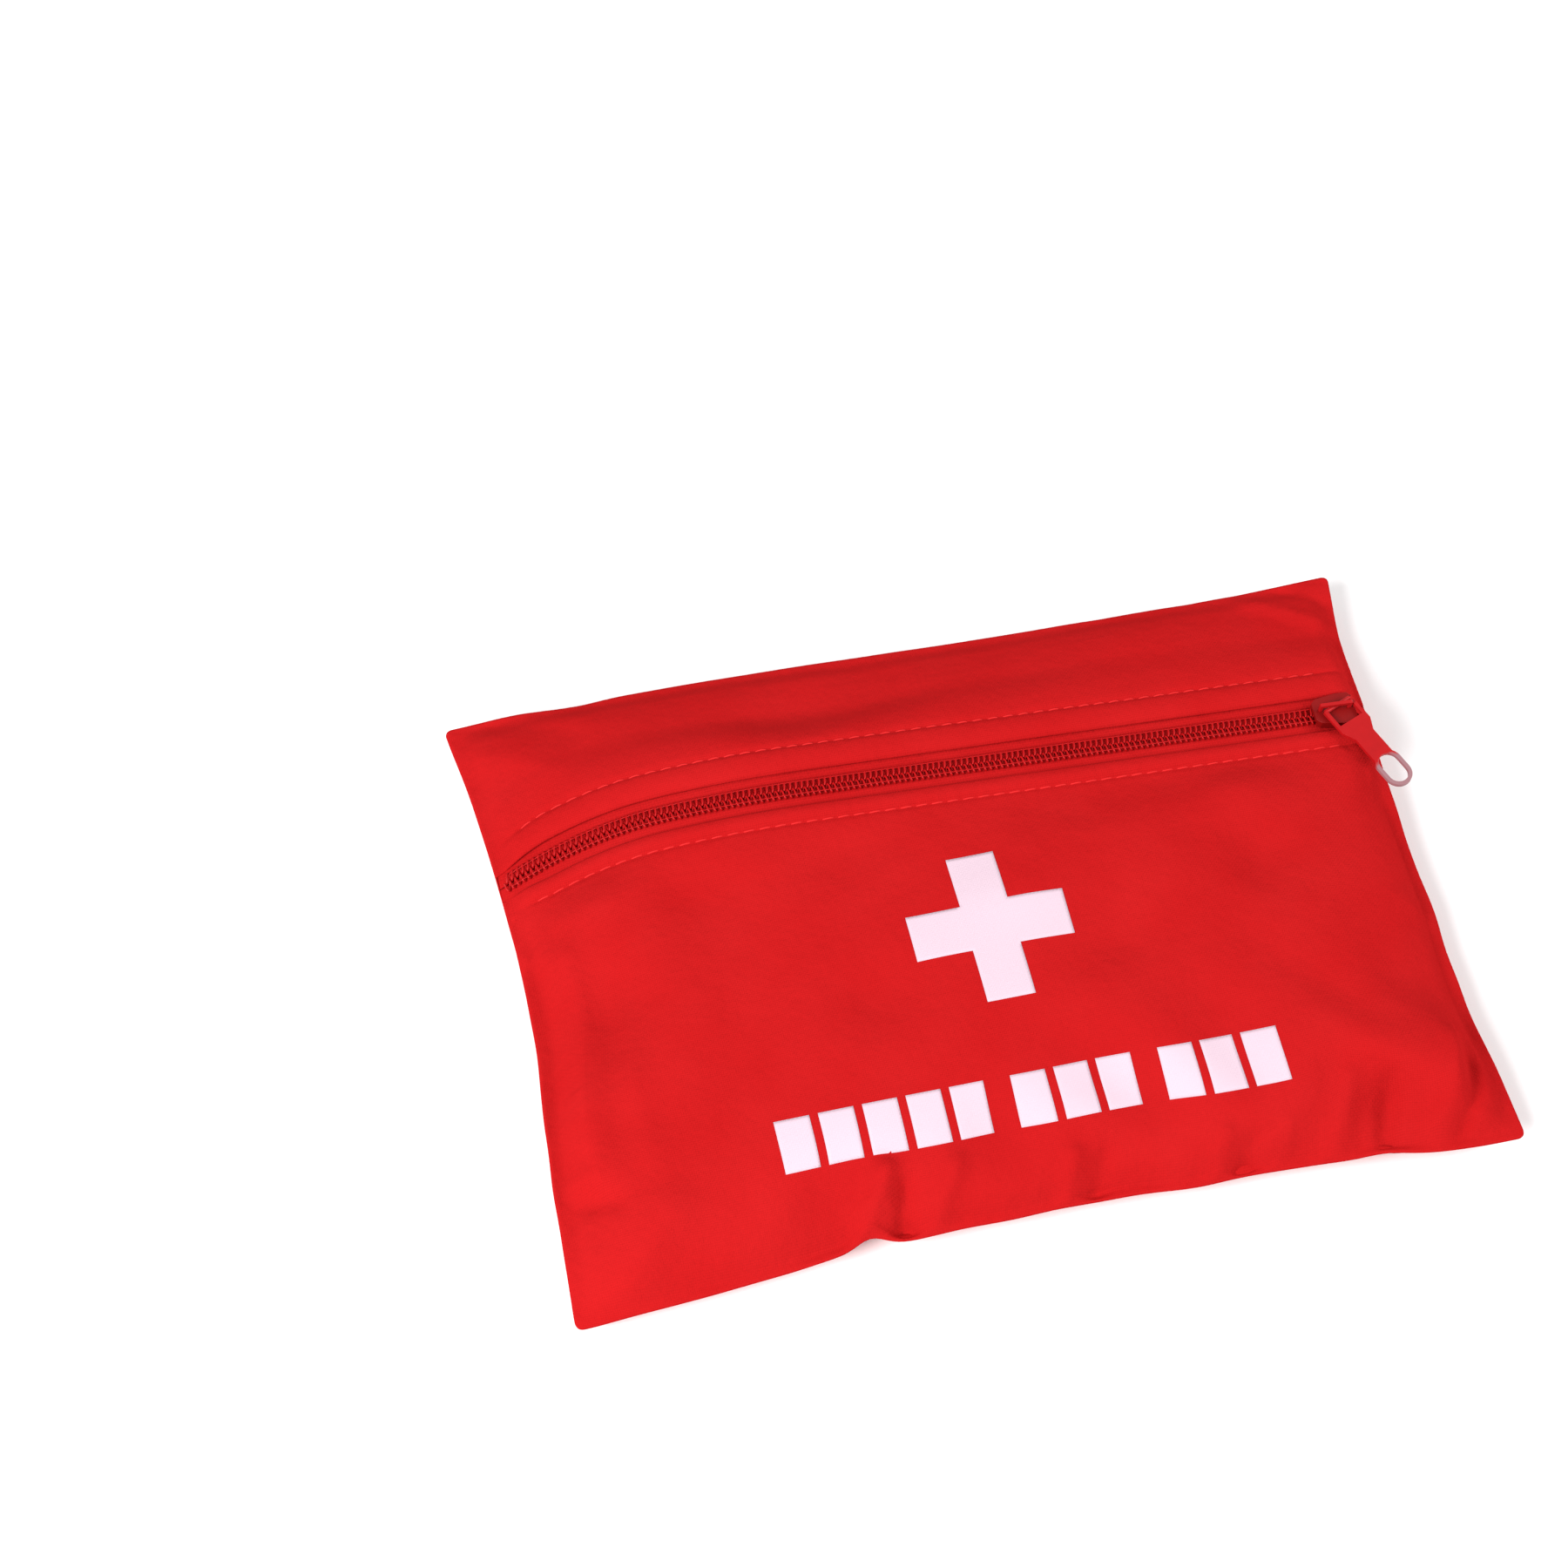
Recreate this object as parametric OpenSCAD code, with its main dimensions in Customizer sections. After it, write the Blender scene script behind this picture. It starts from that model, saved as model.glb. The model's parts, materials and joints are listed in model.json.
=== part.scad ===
// First aid kit in a soft zip pouch, lying on its back with its contents inside.
// +X runs along the zip to its closed end, +Y to the zip edge, +Z out of the front.
// The origin is the centre of the flat face that the pouch rests on.

/* [Pouch] */
// Width between the side corners
pouch_w = 200; // [196:1:208]
// Height between the top and bottom corners
pouch_h = 140; // [138:1:146]
// Height of the sewn edge above the resting face
seam_z = 8; // [7:0.5:9]
// Rise of the stuffed front above the sewn edge
crown = 12.4; // [11.5:0.1:12.8]
// Thickness of the cloth
cloth_t = 0.8; // [0.6:0.1:1]

/* [Zip] */
// Place of the slider along X when the zip is closed
slider_x = 88; // [86:0.5:89]
// Place of the slider along Y when the zip is closed
slider_y = 31; // [29:0.5:33]
// Height of the zip tape at the closed slider
slider_z = 15; // [14.5:0.1:15.5]
// Climb of the zip towards its open end, in degrees
zip_pitch = 2.6; // [2:0.1:2.8]
// Turn of the zip in plan, in degrees
zip_skew = 0.9; // [0:0.1:1.2]
// Distance from the zip's middle line to each folded hem
hem_gap = 4.1; // [4.1:0.1:4.6]

/* [Pull tab] */
// Length of the pull tab from its hinge bar to its tip
tab_l = 23.5; // [22:0.5:26]
// Width of the pull tab at its slot
tab_w = 7.7; // [7.5:0.1:8.5]
// Width of the pull tab between its slot and its eye
tab_waist = 4.9; // [4.5:0.1:6.5]
// Turn of the pull tab from +X, in degrees
tab_yaw = -68; // [-70:1:-60]

/* [Print] */
// Width of the printed cross across its arms
cross_w = 33.7; // [28:0.1:42]
// Width of one arm of the cross
cross_arm = 10.2; // [8:0.2:14]
// Length of the printed line of blocks
line_w = 105.5; // [90:0.5:120]
// Height of the printed blocks
line_h = 10.5; // [8:0.5:12]

/* [Contents] */
// Radius of each rolled bandage
roll_r = 7.6; // [6:0.1:7.7]
// Radius of the roll of tape
tape_r = 17; // [14:0.5:17]
// Angle between the scissors' halves when fully open
scissors_open = 0; // [0:1:30]

/* [Hidden] */

$fn = 64;
cloth = "#d6282c";
cloth_dark = "#b81f24";
print_white = "#f3eaee";

half_w = pouch_w / 2;
half_h = pouch_h / 2;
side_pull = 4.5;
bottom_pull = 4;
band = 0.965;          // share of the half size where the sewn band begins
crown_v = -0.12;       // place of the crown between the bottom (-1) and top (1) edges
seam_rise = 3.5;       // lift of the sewn edge beside the closed slider
rise_r = 16;           // reach of that lift along the edge
hem_rise = 1.05;       // outside of the hems above the zip tape
plateau = 9.3;         // half width of the level strip along the zip
plateau_fade = 13;     // width over which the level strip fades into the bulge
strip_flat = 0.75;     // 1 for a plane from the zip to the top edge, 0 for the full bulge
drop_x = -30;          // the zip begins to fall to the left seam here
slider_reach = 5;      // and to the right seam this far beyond the slider's middle
lip_gap = 0.3;         // clearance under the strip that lifts
tape_t = 0.4;
tape_w = 8.8;
coil_w = 2.1;
coil_h = 1.3;
tape_end = half_w - 8.5;
coil_end = half_w - 9;

function clamp01(t) = min(1, max(0, t));
function smooth(t) = let (s = clamp01(t)) s * s * (3 - 2 * s);
function mix(a, b, t) = a + (b - a) * t;
function bulge(t, p) = pow(max(0, 1 - pow(min(1, abs(t) / band), p)), 0.6);

// Outline of the sewn edge: pulled in between the corners, straight along the top
function side_x(y) = half_w - side_pull * (1 - pow(min(1, abs(y) / half_h), 2));
function bottom_y(x) = -half_h + bottom_pull * (1 - pow(min(1, abs(x) / half_w), 2));
function u_of(x, y) = x / side_x(y);
function v_of(x, y) = y > 0 ? y / half_h : y / -bottom_y(x);

// Middle line of the zip
function zip_y(x) = slider_y + tan(zip_skew) * (slider_x - x);
function zip_line(x) = slider_z + tan(zip_pitch) * (slider_x - x);
function zip_end(x) = side_x(zip_y(x));
function left_share(x) = 1 - pow(1 - clamp01((x + zip_end(x)) / (drop_x + zip_end(x))), 2);
function right_share(x) = smooth((x - slider_x - slider_reach) / (zip_end(x) - slider_x - slider_reach));
function zip_z(x) =
  x < drop_x ? mix(seam_z, zip_line(x), left_share(x))
  : x > slider_x + slider_reach ? mix(zip_line(slider_x + slider_reach), seam_at(x, slider_y), right_share(x))
  : zip_line(x);

// Height of the sewn edge, of the outside of the front and of the outside of the back
function seam_at(x, y) =
  seam_z + seam_rise * smooth((x / half_w - 0.55) / 0.4) * exp(-pow((y - slider_y) / rise_r, 2));
function from_crown(v) = (v - crown_v) / (v > crown_v ? 1 - crown_v : 1 + crown_v);
function crown_at(v) = bulge(from_crown(v), 2.4);
function bulge_z(x, y) = seam_at(x, y) + cloth_t + crown * bulge(u_of(x, y), 3) * crown_at(v_of(x, y));
function off_rim(x, y) = smooth((1 - abs(u_of(x, y))) / 0.035);
function strip_share(x, y) = strip_flat * smooth((y - zip_y(x)) / 6) * off_rim(x, y);
function strip_place(x, y) = clamp01((y - zip_y(x)) / (half_h - zip_y(x)));
function strip_z(x, y) = mix(zip_z(x) + hem_rise, seam_at(x, y) + cloth_t, strip_place(x, y));
function soft_z(x, y) = mix(bulge_z(x, y), strip_z(x, y), strip_share(x, y));
function zip_share(x, y) = 1 - smooth((abs(y - zip_y(x)) - plateau) / plateau_fade);
function level_share(x, y) = zip_share(x, y) * off_rim(x, y);
function front_z(x, y) = mix(soft_z(x, y), zip_z(x) + hem_rise, level_share(x, y));
function edge_share(t, flat) = clamp01((abs(t) - flat) / (band - flat));
function back_z(x, y) =
  let (q = clamp01(norm([edge_share(u_of(x, y), 0.88), edge_share(v_of(x, y), 0.86)])))
  (seam_at(x, y) - cloth_t) * (1 - sqrt(1 - q * q));

// Places along one side of a grid: the sewn band at both ends and even steps between
function spread(n) = concat([-1], [for (i = [0:n]) band * (2 * i / n - 1)], [1]);
function along(n) = [for (i = [0:n]) i / n];

// A closed sheet over a grid of columns (u) and rows, from its upper and lower surfaces
module sheet(upper, lower) {
  rows = len(upper);
  cols = len(upper[0]);
  count = rows * cols;
  points = concat([for (r = upper) each r], [for (r = lower) each r]);
  function at(r, c) = r * cols + c;
  top_faces = [for (r = [0:rows - 2]) for (c = [0:cols - 2]) for (k = [0, 1])
    k == 0 ? [at(r, c), at(r + 1, c), at(r + 1, c + 1)] : [at(r, c), at(r + 1, c + 1), at(r, c + 1)]];
  low_faces = [for (f = top_faces) [f[0] + count, f[2] + count, f[1] + count]];
  rim = concat([for (c = [0:cols - 1]) at(0, c)], [for (r = [1:rows - 1]) at(r, cols - 1)],
    [for (c = [cols - 2:-1:0]) at(rows - 1, c)], [for (r = [rows - 2:-1:1]) at(r, 0)]);
  rim_faces = [for (i = [0:len(rim) - 1]) for (k = [0, 1])
    let (a = rim[i], b = rim[(i + 1) % len(rim)]) k == 0 ? [a, b, b + count] : [a, b + count, a + count]];
  polyhedron(points, concat(top_faces, low_faces, rim_faces));
}

// Grid points of the pouch between two lines y = from(x) and y = to(x), given as 0..1 rows
function plan_point(u, y) = [u * side_x(y), y];
function front_rows() = concat([0, 0.03], [for (i = [1:11]) 0.03 + 0.97 * i / 11]);
function strip_rows() = concat([for (i = [0:6]) 0.92 * i / 6], [1]);
function front_y(u, r) = mix(bottom_y(u * half_w), zip_y(u * zip_end(0)) - hem_gap, r);
function strip_y(u, r) = mix(zip_y(u * zip_end(0)) + hem_gap, half_h, r);
function lifted(p, z) = [p[0], p[1], z];

module back_panel() {
  plan = [for (v = spread(15)) [for (u = spread(24))
    plan_point(u, v > 0 ? v * half_h : -v * bottom_y(u * half_w))]];
  color(cloth_dark)
    sheet([for (row = plan) [for (p = row) lifted(p, back_z(p[0], p[1]) + cloth_t)]],
      [for (row = plan) [for (p = row) lifted(p, back_z(p[0], p[1]))]]);
}

module front_panel() {
  plan = [for (r = front_rows()) [for (u = spread(24)) plan_point(u, front_y(u, r))]];
  color(cloth)
    sheet([for (row = plan) [for (p = row) lifted(p, front_z(p[0], p[1]) + 0.05)]],
      [for (row = plan) [for (p = row) lifted(p, front_z(p[0], p[1]) + 0.05 - cloth_t)]]);
}

module upper_strip() {
  plan = [for (r = strip_rows()) [for (u = spread(24)) plan_point(u, strip_y(u, r))]];
  color(cloth)
    sheet([for (row = plan) [for (p = row) lifted(p, front_z(p[0], p[1]) + lip_gap)]],
      [for (row = plan) [for (p = row) lifted(p, front_z(p[0], p[1]) + lip_gap - cloth_t)]]);
}

// A ribbon beside the zip's middle line, from offset y0 to y1 and from height z0 to z1
module zip_ribbon(y0, y1, z0, z1, left, right, steps, spread_at_slider) {
  xs = [for (t = along(steps)) mix(left, right, t)];
  function parting(x) = spread_at_slider * smooth((x - slider_x + 1) / 2.4);
  function edge(x, y, z) = [x, zip_y(x) + y + sign(y0 + y1) * parting(x), zip_z(x) + z];
  sheet([[for (x = xs) edge(x, y0, z1)], [for (x = xs) edge(x, y1, z1)]],
    [[for (x = xs) edge(x, y0, z0)], [for (x = xs) edge(x, y1, z0)]]);
}

module lower_zip_tape() {
  color(cloth_dark) zip_ribbon(-tape_w, -0.1, -tape_t, 0, -tape_end, tape_end, 60, 0.7);
}

module upper_zip_tape() {
  color(cloth_dark) zip_ribbon(0.1, tape_w, -tape_t, 0, -tape_end, tape_end, 60, 0.7);
}

module lower_coil() {
  color(cloth) zip_ribbon(-coil_w, -0.1, 0.02, coil_h, -coil_end, coil_end, 100, 0.75);
}

module upper_coil() {
  color(cloth) zip_ribbon(0.1, coil_w, 0.02, coil_h, -coil_end, coil_end, 100, 0.75);
}

// A row of stitches lying on the cloth at a distance from the zip's middle line
module topstitch(offset_y, lift) {
  pitch = 3.4;
  for (x = [-88:pitch:86]) {
    y = zip_y(x) + offset_y;
    slope = atan2(front_z(x + 1, y) - front_z(x - 1, y), 2);
    translate([x, y, front_z(x, y) + lift]) rotate([0, -slope, 0]) cube([2.4, 0.45, 0.3], center = true);
  }
}

module lower_topstitch() {
  color(cloth_dark) topstitch(-hem_gap - 4, 0.35);
}

module upper_topstitch() {
  color(cloth_dark) topstitch(hem_gap + 6, lip_gap + 0.3);
}

// The slider's own frame: its x along the zip, its z up from the tape
module at_slider() {
  translate([slider_x, slider_y, slider_z]) rotate([0, zip_pitch, -zip_skew]) children();
}

wing_low = -1.8;
wing_t = 0.95;
wing_high = 1.65;
module wing_outline(inset) {
  polygon([[-4.7 + inset, -2 + inset], [-3.6, -3 + inset], [1, -3.7 + inset], [3.9, -3.7 + inset],
    [4.7 - inset, -2.7 + inset], [4.7 - inset, 2.7 - inset], [3.9, 3.7 - inset], [1, 3.7 - inset],
    [-3.6, 3 - inset], [-4.7 + inset, 2 - inset]]);
}

// Two wings joined by a post between the parting coils; the tapes pass between the wings
module slider_body() {
  color(cloth) at_slider() {
    translate([0, 0, wing_low]) linear_extrude(wing_t) wing_outline(0);
    translate([0, 0, wing_high]) linear_extrude(wing_t) wing_outline(0);
    translate([0, 0, 0.35]) linear_extrude(wing_high - 0.35) difference() {
      wing_outline(0);
      wing_outline(0.6);
      translate([-6, -2.35]) square([3, 4.7]);
      translate([3.8, -3.05]) square([3, 6.1]);
    }
    translate([0, 0, wing_low]) linear_extrude(wing_high - wing_low + 0.2)
      polygon([[1.8, 0], [2.9, -0.55], [4.5, -0.55], [4.5, 0.55], [2.9, 0.55]]);
  }
}

bridge_z = wing_high + wing_t;
bar_z = bridge_z + 0.8;
bar_r = 0.5;
foot_x = 3.3;
foot_w = 0.8;
beam_z = 1.5;
beam_w = 0.8;
beam_t = 0.9;
module slider_bridge() {
  color(cloth) at_slider() {
    for (x = [-foot_x, foot_x])
      translate([x - foot_w / 2, -foot_w / 2, bridge_z]) cube([foot_w, foot_w, beam_z]);
    translate([-foot_x - foot_w / 2, -beam_w / 2, bridge_z + beam_z])
      cube([2 * foot_x + foot_w, beam_w, beam_t]);
  }
}

// The tab's own frame: its hinge bar along y under the bridge, its length along x, level
module at_tab() {
  at_slider() translate([-0.3, 0, bar_z]) rotate([0, 0, zip_skew]) rotate([0, -zip_pitch, 0])
    rotate([0, 0, tab_yaw]) translate([0, tab_slide, 0]) children();
}

tab_slide = 1;
tab_t = 0.9;
rail = 0.8;
slot_l = 5.2;
eye_l = 9.2;
eye_w = 6.2;
eye_rim = 0.85;
module tab_plate(eye_x) {
  half = tab_w / 2;
  waist = tab_waist / 2;
  polygon([[slot_l - 0.5, -half], [slot_l + 1.2, -half], [slot_l + 4, -waist], [eye_x, -waist],
    [eye_x, waist], [slot_l + 4, waist], [slot_l + 1.2, half], [slot_l - 0.5, half]]);
}

module pull_tab() {
  eye_x = tab_l - eye_l / 2;
  half = tab_w / 2;
  color(cloth) at_tab() {
    rotate([90, 0, 0]) translate([0, 0, -half + bar_r]) cylinder(r = bar_r, h = tab_w - 2 * bar_r);
    for (side = [-1, 1])
      translate([0, side * (half - rail / 2) - rail / 2, -tab_t / 2]) cube([slot_l, rail, tab_t]);
    translate([0, 0, -tab_t / 2]) linear_extrude(tab_t) difference() {
      union() {
        tab_plate(eye_x);
        translate([eye_x, 0]) long_round(eye_w / 2, eye_l - eye_w);
      }
      translate([eye_x, 0]) long_round(eye_w / 2 - eye_rim, eye_l - eye_w);
    }
  }
}

// A thin patch that lies on the front between two corners, split into columns and rows
print_lift = 0.17;
print_t = 0.2;
module printed_patch(x0, x1, y0, y1, columns, rows) {
  plan = [for (r = along(rows)) [for (c = along(columns)) [mix(x0, x1, c), mix(y0, y1, r)]]];
  sheet([for (row = plan) [for (p = row) lifted(p, front_z(p[0], p[1]) + print_lift + print_t)]],
    [for (row = plan) [for (p = row) lifted(p, front_z(p[0], p[1]) + print_lift)]]);
}

cross_c = [0, -7];
module printed_cross() {
  a = cross_arm / 2;
  b = cross_w / 2;
  color(print_white) {
    printed_patch(cross_c[0] - a, cross_c[0] + a, cross_c[1] - b, cross_c[1] + b, 3, 10);
    printed_patch(cross_c[0] + a, cross_c[0] + b, cross_c[1] - a, cross_c[1] + a, 4, 3);
    printed_patch(cross_c[0] - b, cross_c[0] - a, cross_c[1] - a, cross_c[1] + a, 4, 3);
  }
}

line_c = [-1, -45];
block_gap = 1.8;
word_gap = 5.6;
words = [5, 3, 3];
module printed_blocks() {
  letters = words[0] + words[1] + words[2];
  gaps = letters - len(words);
  block_w = (line_w - gaps * block_gap - (len(words) - 1) * word_gap) / letters;
  step = block_w + block_gap;
  word_step = word_gap - block_gap;
  color(print_white) for (w = [0:2]) {
    before = w == 0 ? 0 : w == 1 ? words[0] : words[0] + words[1];
    for (i = [0:words[w] - 1]) {
      x = line_c[0] - line_w / 2 + (before + i) * step + w * word_step;
      printed_patch(x, x + block_w, line_c[1] - line_h / 2, line_c[1] + line_h / 2, 1, 2);
    }
  }
}

// A soft flat pack with rounded corners
module slab(x0, x1, y0, y1, z0, z1) {
  r = 2;
  translate([0, 0, z0]) linear_extrude(z1 - z0) {
    translate([x0 + r, y0]) square([x1 - x0 - 2 * r, y1 - y0]);
    translate([x0, y0 + r]) square([x1 - x0, y1 - y0 - 2 * r]);
    for (x = [x0 + r, x1 - r])
      for (y = [y0 + r, y1 - r])
        translate([x, y]) circle(r = r);
  }
}

floor_z = 1.1;
roll_l = 48;
module bandage_roll(x, y) {
  color("#efe9dc") translate([x, y, floor_z + roll_r + 0.1]) rotate([0, 90, 0])
    cylinder(r = roll_r, h = roll_l);
}

module bandage_roll_1() {
  bandage_roll(6, 17.6);
}

module bandage_roll_2() {
  bandage_roll(6, 2);
}

tape_c = [39, -26];
tape_core_r = 12.5;
tape_h = 12.5;
module tape_winding() {
  color("#f4f1ea") translate([tape_c[0], tape_c[1], floor_z + 0.1]) difference() {
    cylinder(r = tape_r, h = tape_h);
    translate([0, 0, -1]) cylinder(r = tape_core_r, h = tape_h + 2);
  }
}

module tape_core() {
  color("#dcdcdc") translate([tape_c[0], tape_c[1], floor_z + 0.1]) difference() {
    cylinder(r = tape_core_r, h = tape_h);
    translate([0, 0, -1]) cylinder(r = tape_core_r - 1.2, h = tape_h + 2);
  }
}

module foil_blanket() {
  color("#c9ccd1") slab(-80, 2, -38, 24, 4.9, 7.9);
}

module triangular_bandage() {
  color("#f2efe6") slab(-76, 2, -38, 20, 8.1, 11.9);
}

module gauze_pads() {
  color("#fbfbf8") slab(-48, 2, -36, 16, 12.1, 15.1);
}

module adhesive_plasters() {
  color("#e3bd93") slab(-74, -51, -40, 18, 12.1, 13.6);
}

module alcohol_wipes() {
  color("#8fb7de") slab(57, 84, -12, 24, 1.2, 6.2);
}

swab_y = [-53.2, -48.2, -50.7];
swab_z = [3.6, 3.6, 8];
swab_l = 74;
module swab_sticks() {
  color("#f5f5f5") for (i = [0:2])
    translate([14, swab_y[i], swab_z[i]]) rotate([0, 90, 0]) cylinder(r = 1.1, h = swab_l - 10);
}

module swab_tips() {
  color("#ffffff") for (i = [0:2])
    for (x = [14, 4 + swab_l])
      translate([x, swab_y[i], swab_z[i]]) rotate([0, x < 40 ? -90 : 90, 0]) rotate_extrude()
        polygon([[0, 0], [1.5, 0], [2.2, 2], [2.2, 3.5], [1.4, 5], [0, 5]]);
}

// Scissors, closed along X: each half is a blade, its shank and a finger loop
pivot = [-36, -17];
blade_t = 1.2;
blade_z = [1.3, 2.7];
pin_r = 2;
handle_t = blade_z[1] + blade_t - blade_z[0];
module blade_outline() {
  polygon([[39, 0.2], [37, 2.4], [10, 4.6], [0, 4.4], [-5, 1.5], [-16, -3.2], [-19, -6.4],
    [-15, -8], [-3, -4.2], [4, -1.4], [37, -0.9]]);
}

// A shape with round ends of radius r whose centres are len apart along x
module long_round(r, len) {
  translate([-len / 2, -r]) square([len, 2 * r]);
  for (x = [-len / 2, len / 2])
    translate([x, 0]) circle(r = r);
}

module handle_shape() {
  difference() {
    linear_extrude(handle_t) translate([-30, -10.2]) long_round(9.4, 6.6);
    translate([0, 0, -1]) linear_extrude(handle_t + 2) translate([-30.5, -10.2]) long_round(6.2, 5);
  }
  linear_extrude(handle_t) polygon([[-12, -0.9], [-11, -7.6], [-19.6, -13], [-20.2, -6]]);
}

module scissors_half(side) {
  translate([pivot[0], pivot[1], 0])
    rotate([0, 0, side > 0 ? 0 : -scissors_open])
      mirror([0, side > 0 ? 0 : 1, 0]) children();
}

module scissors_blade(side, layer, bore) {
  color("#c8ccd0") scissors_half(side) translate([0, 0, blade_z[layer]])
    linear_extrude(blade_t) difference() {
      blade_outline();
      circle(r = bore);
    }
}

module scissors_handle(side) {
  color("#2b2b2e") scissors_half(side) translate([0, 0, blade_z[0]]) handle_shape();
}

module scissors_blade_1() {
  scissors_blade(1, 0, pin_r);
}

module scissors_blade_2() {
  scissors_blade(-1, 1, pin_r + 0.05);
}

module scissors_handle_1() {
  scissors_handle(1);
}

module scissors_handle_2() {
  scissors_handle(-1);
}

module scissors_rivet() {
  top = blade_z[1] + blade_t + 0.1;
  color("#9fa3a8") translate([pivot[0], pivot[1], 0]) {
    translate([0, 0, blade_z[0]]) cylinder(r = pin_r, h = top - blade_z[0]);
    translate([0, 0, top]) cylinder(r = 3, h = 0.5);
  }
}

// Tweezers on their side: two sprung arms that meet in a welded block
tweezers_c = [3, -48];
arm_l = 78;
arm_h = 8;
arm_points = [[-1, 0.4], [-1, 1.6], [-arm_l / 2, 3.6], [-arm_l + 4, 4.9], [-arm_l, 4.2],
  [-arm_l, 3.3], [-arm_l + 4, 3.7], [-arm_l / 2, 2.4]];
// Points of the block at the welded end of an arm, whose inner face is at y = inner
function block_points(inner) = [[-1, 1.6], [4, 1.6], [4, inner], [-0.9, inner]];
module tweezers_arm(side, inner) {
  outline = concat(block_points(inner), [for (i = [7:-1:1]) arm_points[i]]);
  color("#b9bdc2") translate([tweezers_c[0], tweezers_c[1], 1.3]) linear_extrude(arm_h)
    polygon([for (p = outline) [p[0], side * p[1]]]);
}

module tweezers_arm_1() {
  tweezers_arm(-1, 0.2);
}

module tweezers_arm_2() {
  tweezers_arm(1, 0.4);
}

back_panel();
front_panel();
upper_strip();
lower_zip_tape();
upper_zip_tape();
lower_coil();
upper_coil();
lower_topstitch();
upper_topstitch();
slider_body();
slider_bridge();
pull_tab();
printed_cross();
printed_blocks();
bandage_roll_1();
bandage_roll_2();
tape_winding();
tape_core();
triangular_bandage();
gauze_pads();
foil_blanket();
adhesive_plasters();
alcohol_wipes();
swab_sticks();
swab_tips();
scissors_blade_1();
scissors_blade_2();
scissors_handle_1();
scissors_handle_2();
scissors_rivet();
tweezers_arm_1();
tweezers_arm_2();
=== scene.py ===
"""A soft red zip pouch with first aid contents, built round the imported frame.

Lengths in the shape code are in millimetres; meshes are made in metres.
"""

import json
import math

import bpy
import numpy as np
from mathutils import Matrix, Vector


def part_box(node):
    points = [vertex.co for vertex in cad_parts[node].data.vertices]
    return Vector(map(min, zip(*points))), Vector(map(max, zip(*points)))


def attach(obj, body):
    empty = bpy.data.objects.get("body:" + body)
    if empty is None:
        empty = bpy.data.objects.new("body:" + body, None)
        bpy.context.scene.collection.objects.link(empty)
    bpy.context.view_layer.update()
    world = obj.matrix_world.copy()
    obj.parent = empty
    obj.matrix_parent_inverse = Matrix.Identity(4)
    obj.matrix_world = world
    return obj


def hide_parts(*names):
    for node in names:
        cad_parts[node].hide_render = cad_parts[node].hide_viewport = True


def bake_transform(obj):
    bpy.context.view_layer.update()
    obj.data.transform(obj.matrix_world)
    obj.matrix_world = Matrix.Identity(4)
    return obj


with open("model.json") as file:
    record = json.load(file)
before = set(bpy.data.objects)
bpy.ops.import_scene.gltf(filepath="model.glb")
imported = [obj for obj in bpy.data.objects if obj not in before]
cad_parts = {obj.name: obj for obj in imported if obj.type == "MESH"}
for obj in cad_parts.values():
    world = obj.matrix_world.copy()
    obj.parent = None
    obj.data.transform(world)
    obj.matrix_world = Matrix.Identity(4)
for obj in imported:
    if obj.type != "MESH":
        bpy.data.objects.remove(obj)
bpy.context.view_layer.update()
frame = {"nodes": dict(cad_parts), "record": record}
MM = 0.001


def box_of(node):
    """Lowest and highest corner of a CAD node in millimetres."""
    return [np.array(corner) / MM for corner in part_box(node)]


def added(name, data):
    ob = bpy.data.objects.new(name, data)
    bpy.context.scene.collection.objects.link(ob)
    return ob


def quads(ids):
    """The four corners of each cell of a grid of point numbers."""
    return np.stack([ids[:-1, :-1], ids[:-1, 1:], ids[1:, 1:], ids[1:, :-1]], -1).reshape(-1, 4)


# ---- the pouch's shape
HALF_W, HALF_H = box_of("back_panel")[1][:2]
SEAM_Z = 8.0  # the sewn rim's height above the floor
CROWN = 12.4  # how far the filled front rises above the rim
CLOTH_T = 0.8
SIDE_PULL, BOTTOM_PULL = 4.5, 4.0  # how far the filling draws the rims in at their middles
BAND, CROWN_V = 0.965, -0.12  # the filled share of the width, and v of its highest line
SEAM_RISE, RISE_R = 3.5, 16.0  # the rim's rise beside the slider, and its reach
HEM_RISE, PLATEAU, PLATEAU_FADE = 1.05, 9.3, 13.0  # the level band along the zip
STRIP_FLAT = 0.75  # 1 for a plane from the zip to the top edge
SLIDER = (88.0, 31.0, 15.0)
SLIDER_REACH = 5  # right of the slider's middle, the zip is still straight
ZIP_SLOPE = math.tan(math.radians(2.6))
ZIP_SKEW = math.tan(math.radians(0.9))
DROP_X = -30.0  # left of this the zip sinks to the left seam
ZIP_DROOP, DROOP_X, DROOP_LENGTH = 6.0, -62, 36  # its curve in the plan as it gets there
HEM_GAP = 4.1  # from the zip's middle line to each fold
LOWER_STITCH, UPPER_STITCH = 4.0, 6.0  # from each fold to its topstitch
STITCH_PITCH = 3.4
TURN_R = 0.7  # radius of the turned edge along the seams
LIP_LIFT = 0.25  # the strip that lifts lies this much higher
HINGE_Y, HINGE_DEG = 70.0, 50.0


def clamp01(t):
    return np.clip(t, 0.0, 1.0)


def smooth(t):
    s = clamp01(t)
    return s * s * (3 - 2 * s)


def mix(a, b, t):
    return a + (b - a) * t


def hill(t, centre, width):
    return np.exp(-(((t - centre) / width) ** 2))


def bulge(t, power):
    return np.maximum(0, 1 - np.minimum(1, np.abs(t) / BAND) ** power) ** 0.6


def side_x(y):
    return HALF_W - SIDE_PULL * (1 - np.minimum(1, np.abs(y) / HALF_H) ** 2)


def bottom_y(x):
    return -HALF_H + BOTTOM_PULL * (1 - np.minimum(1, np.abs(x) / HALF_W) ** 2)


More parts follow.
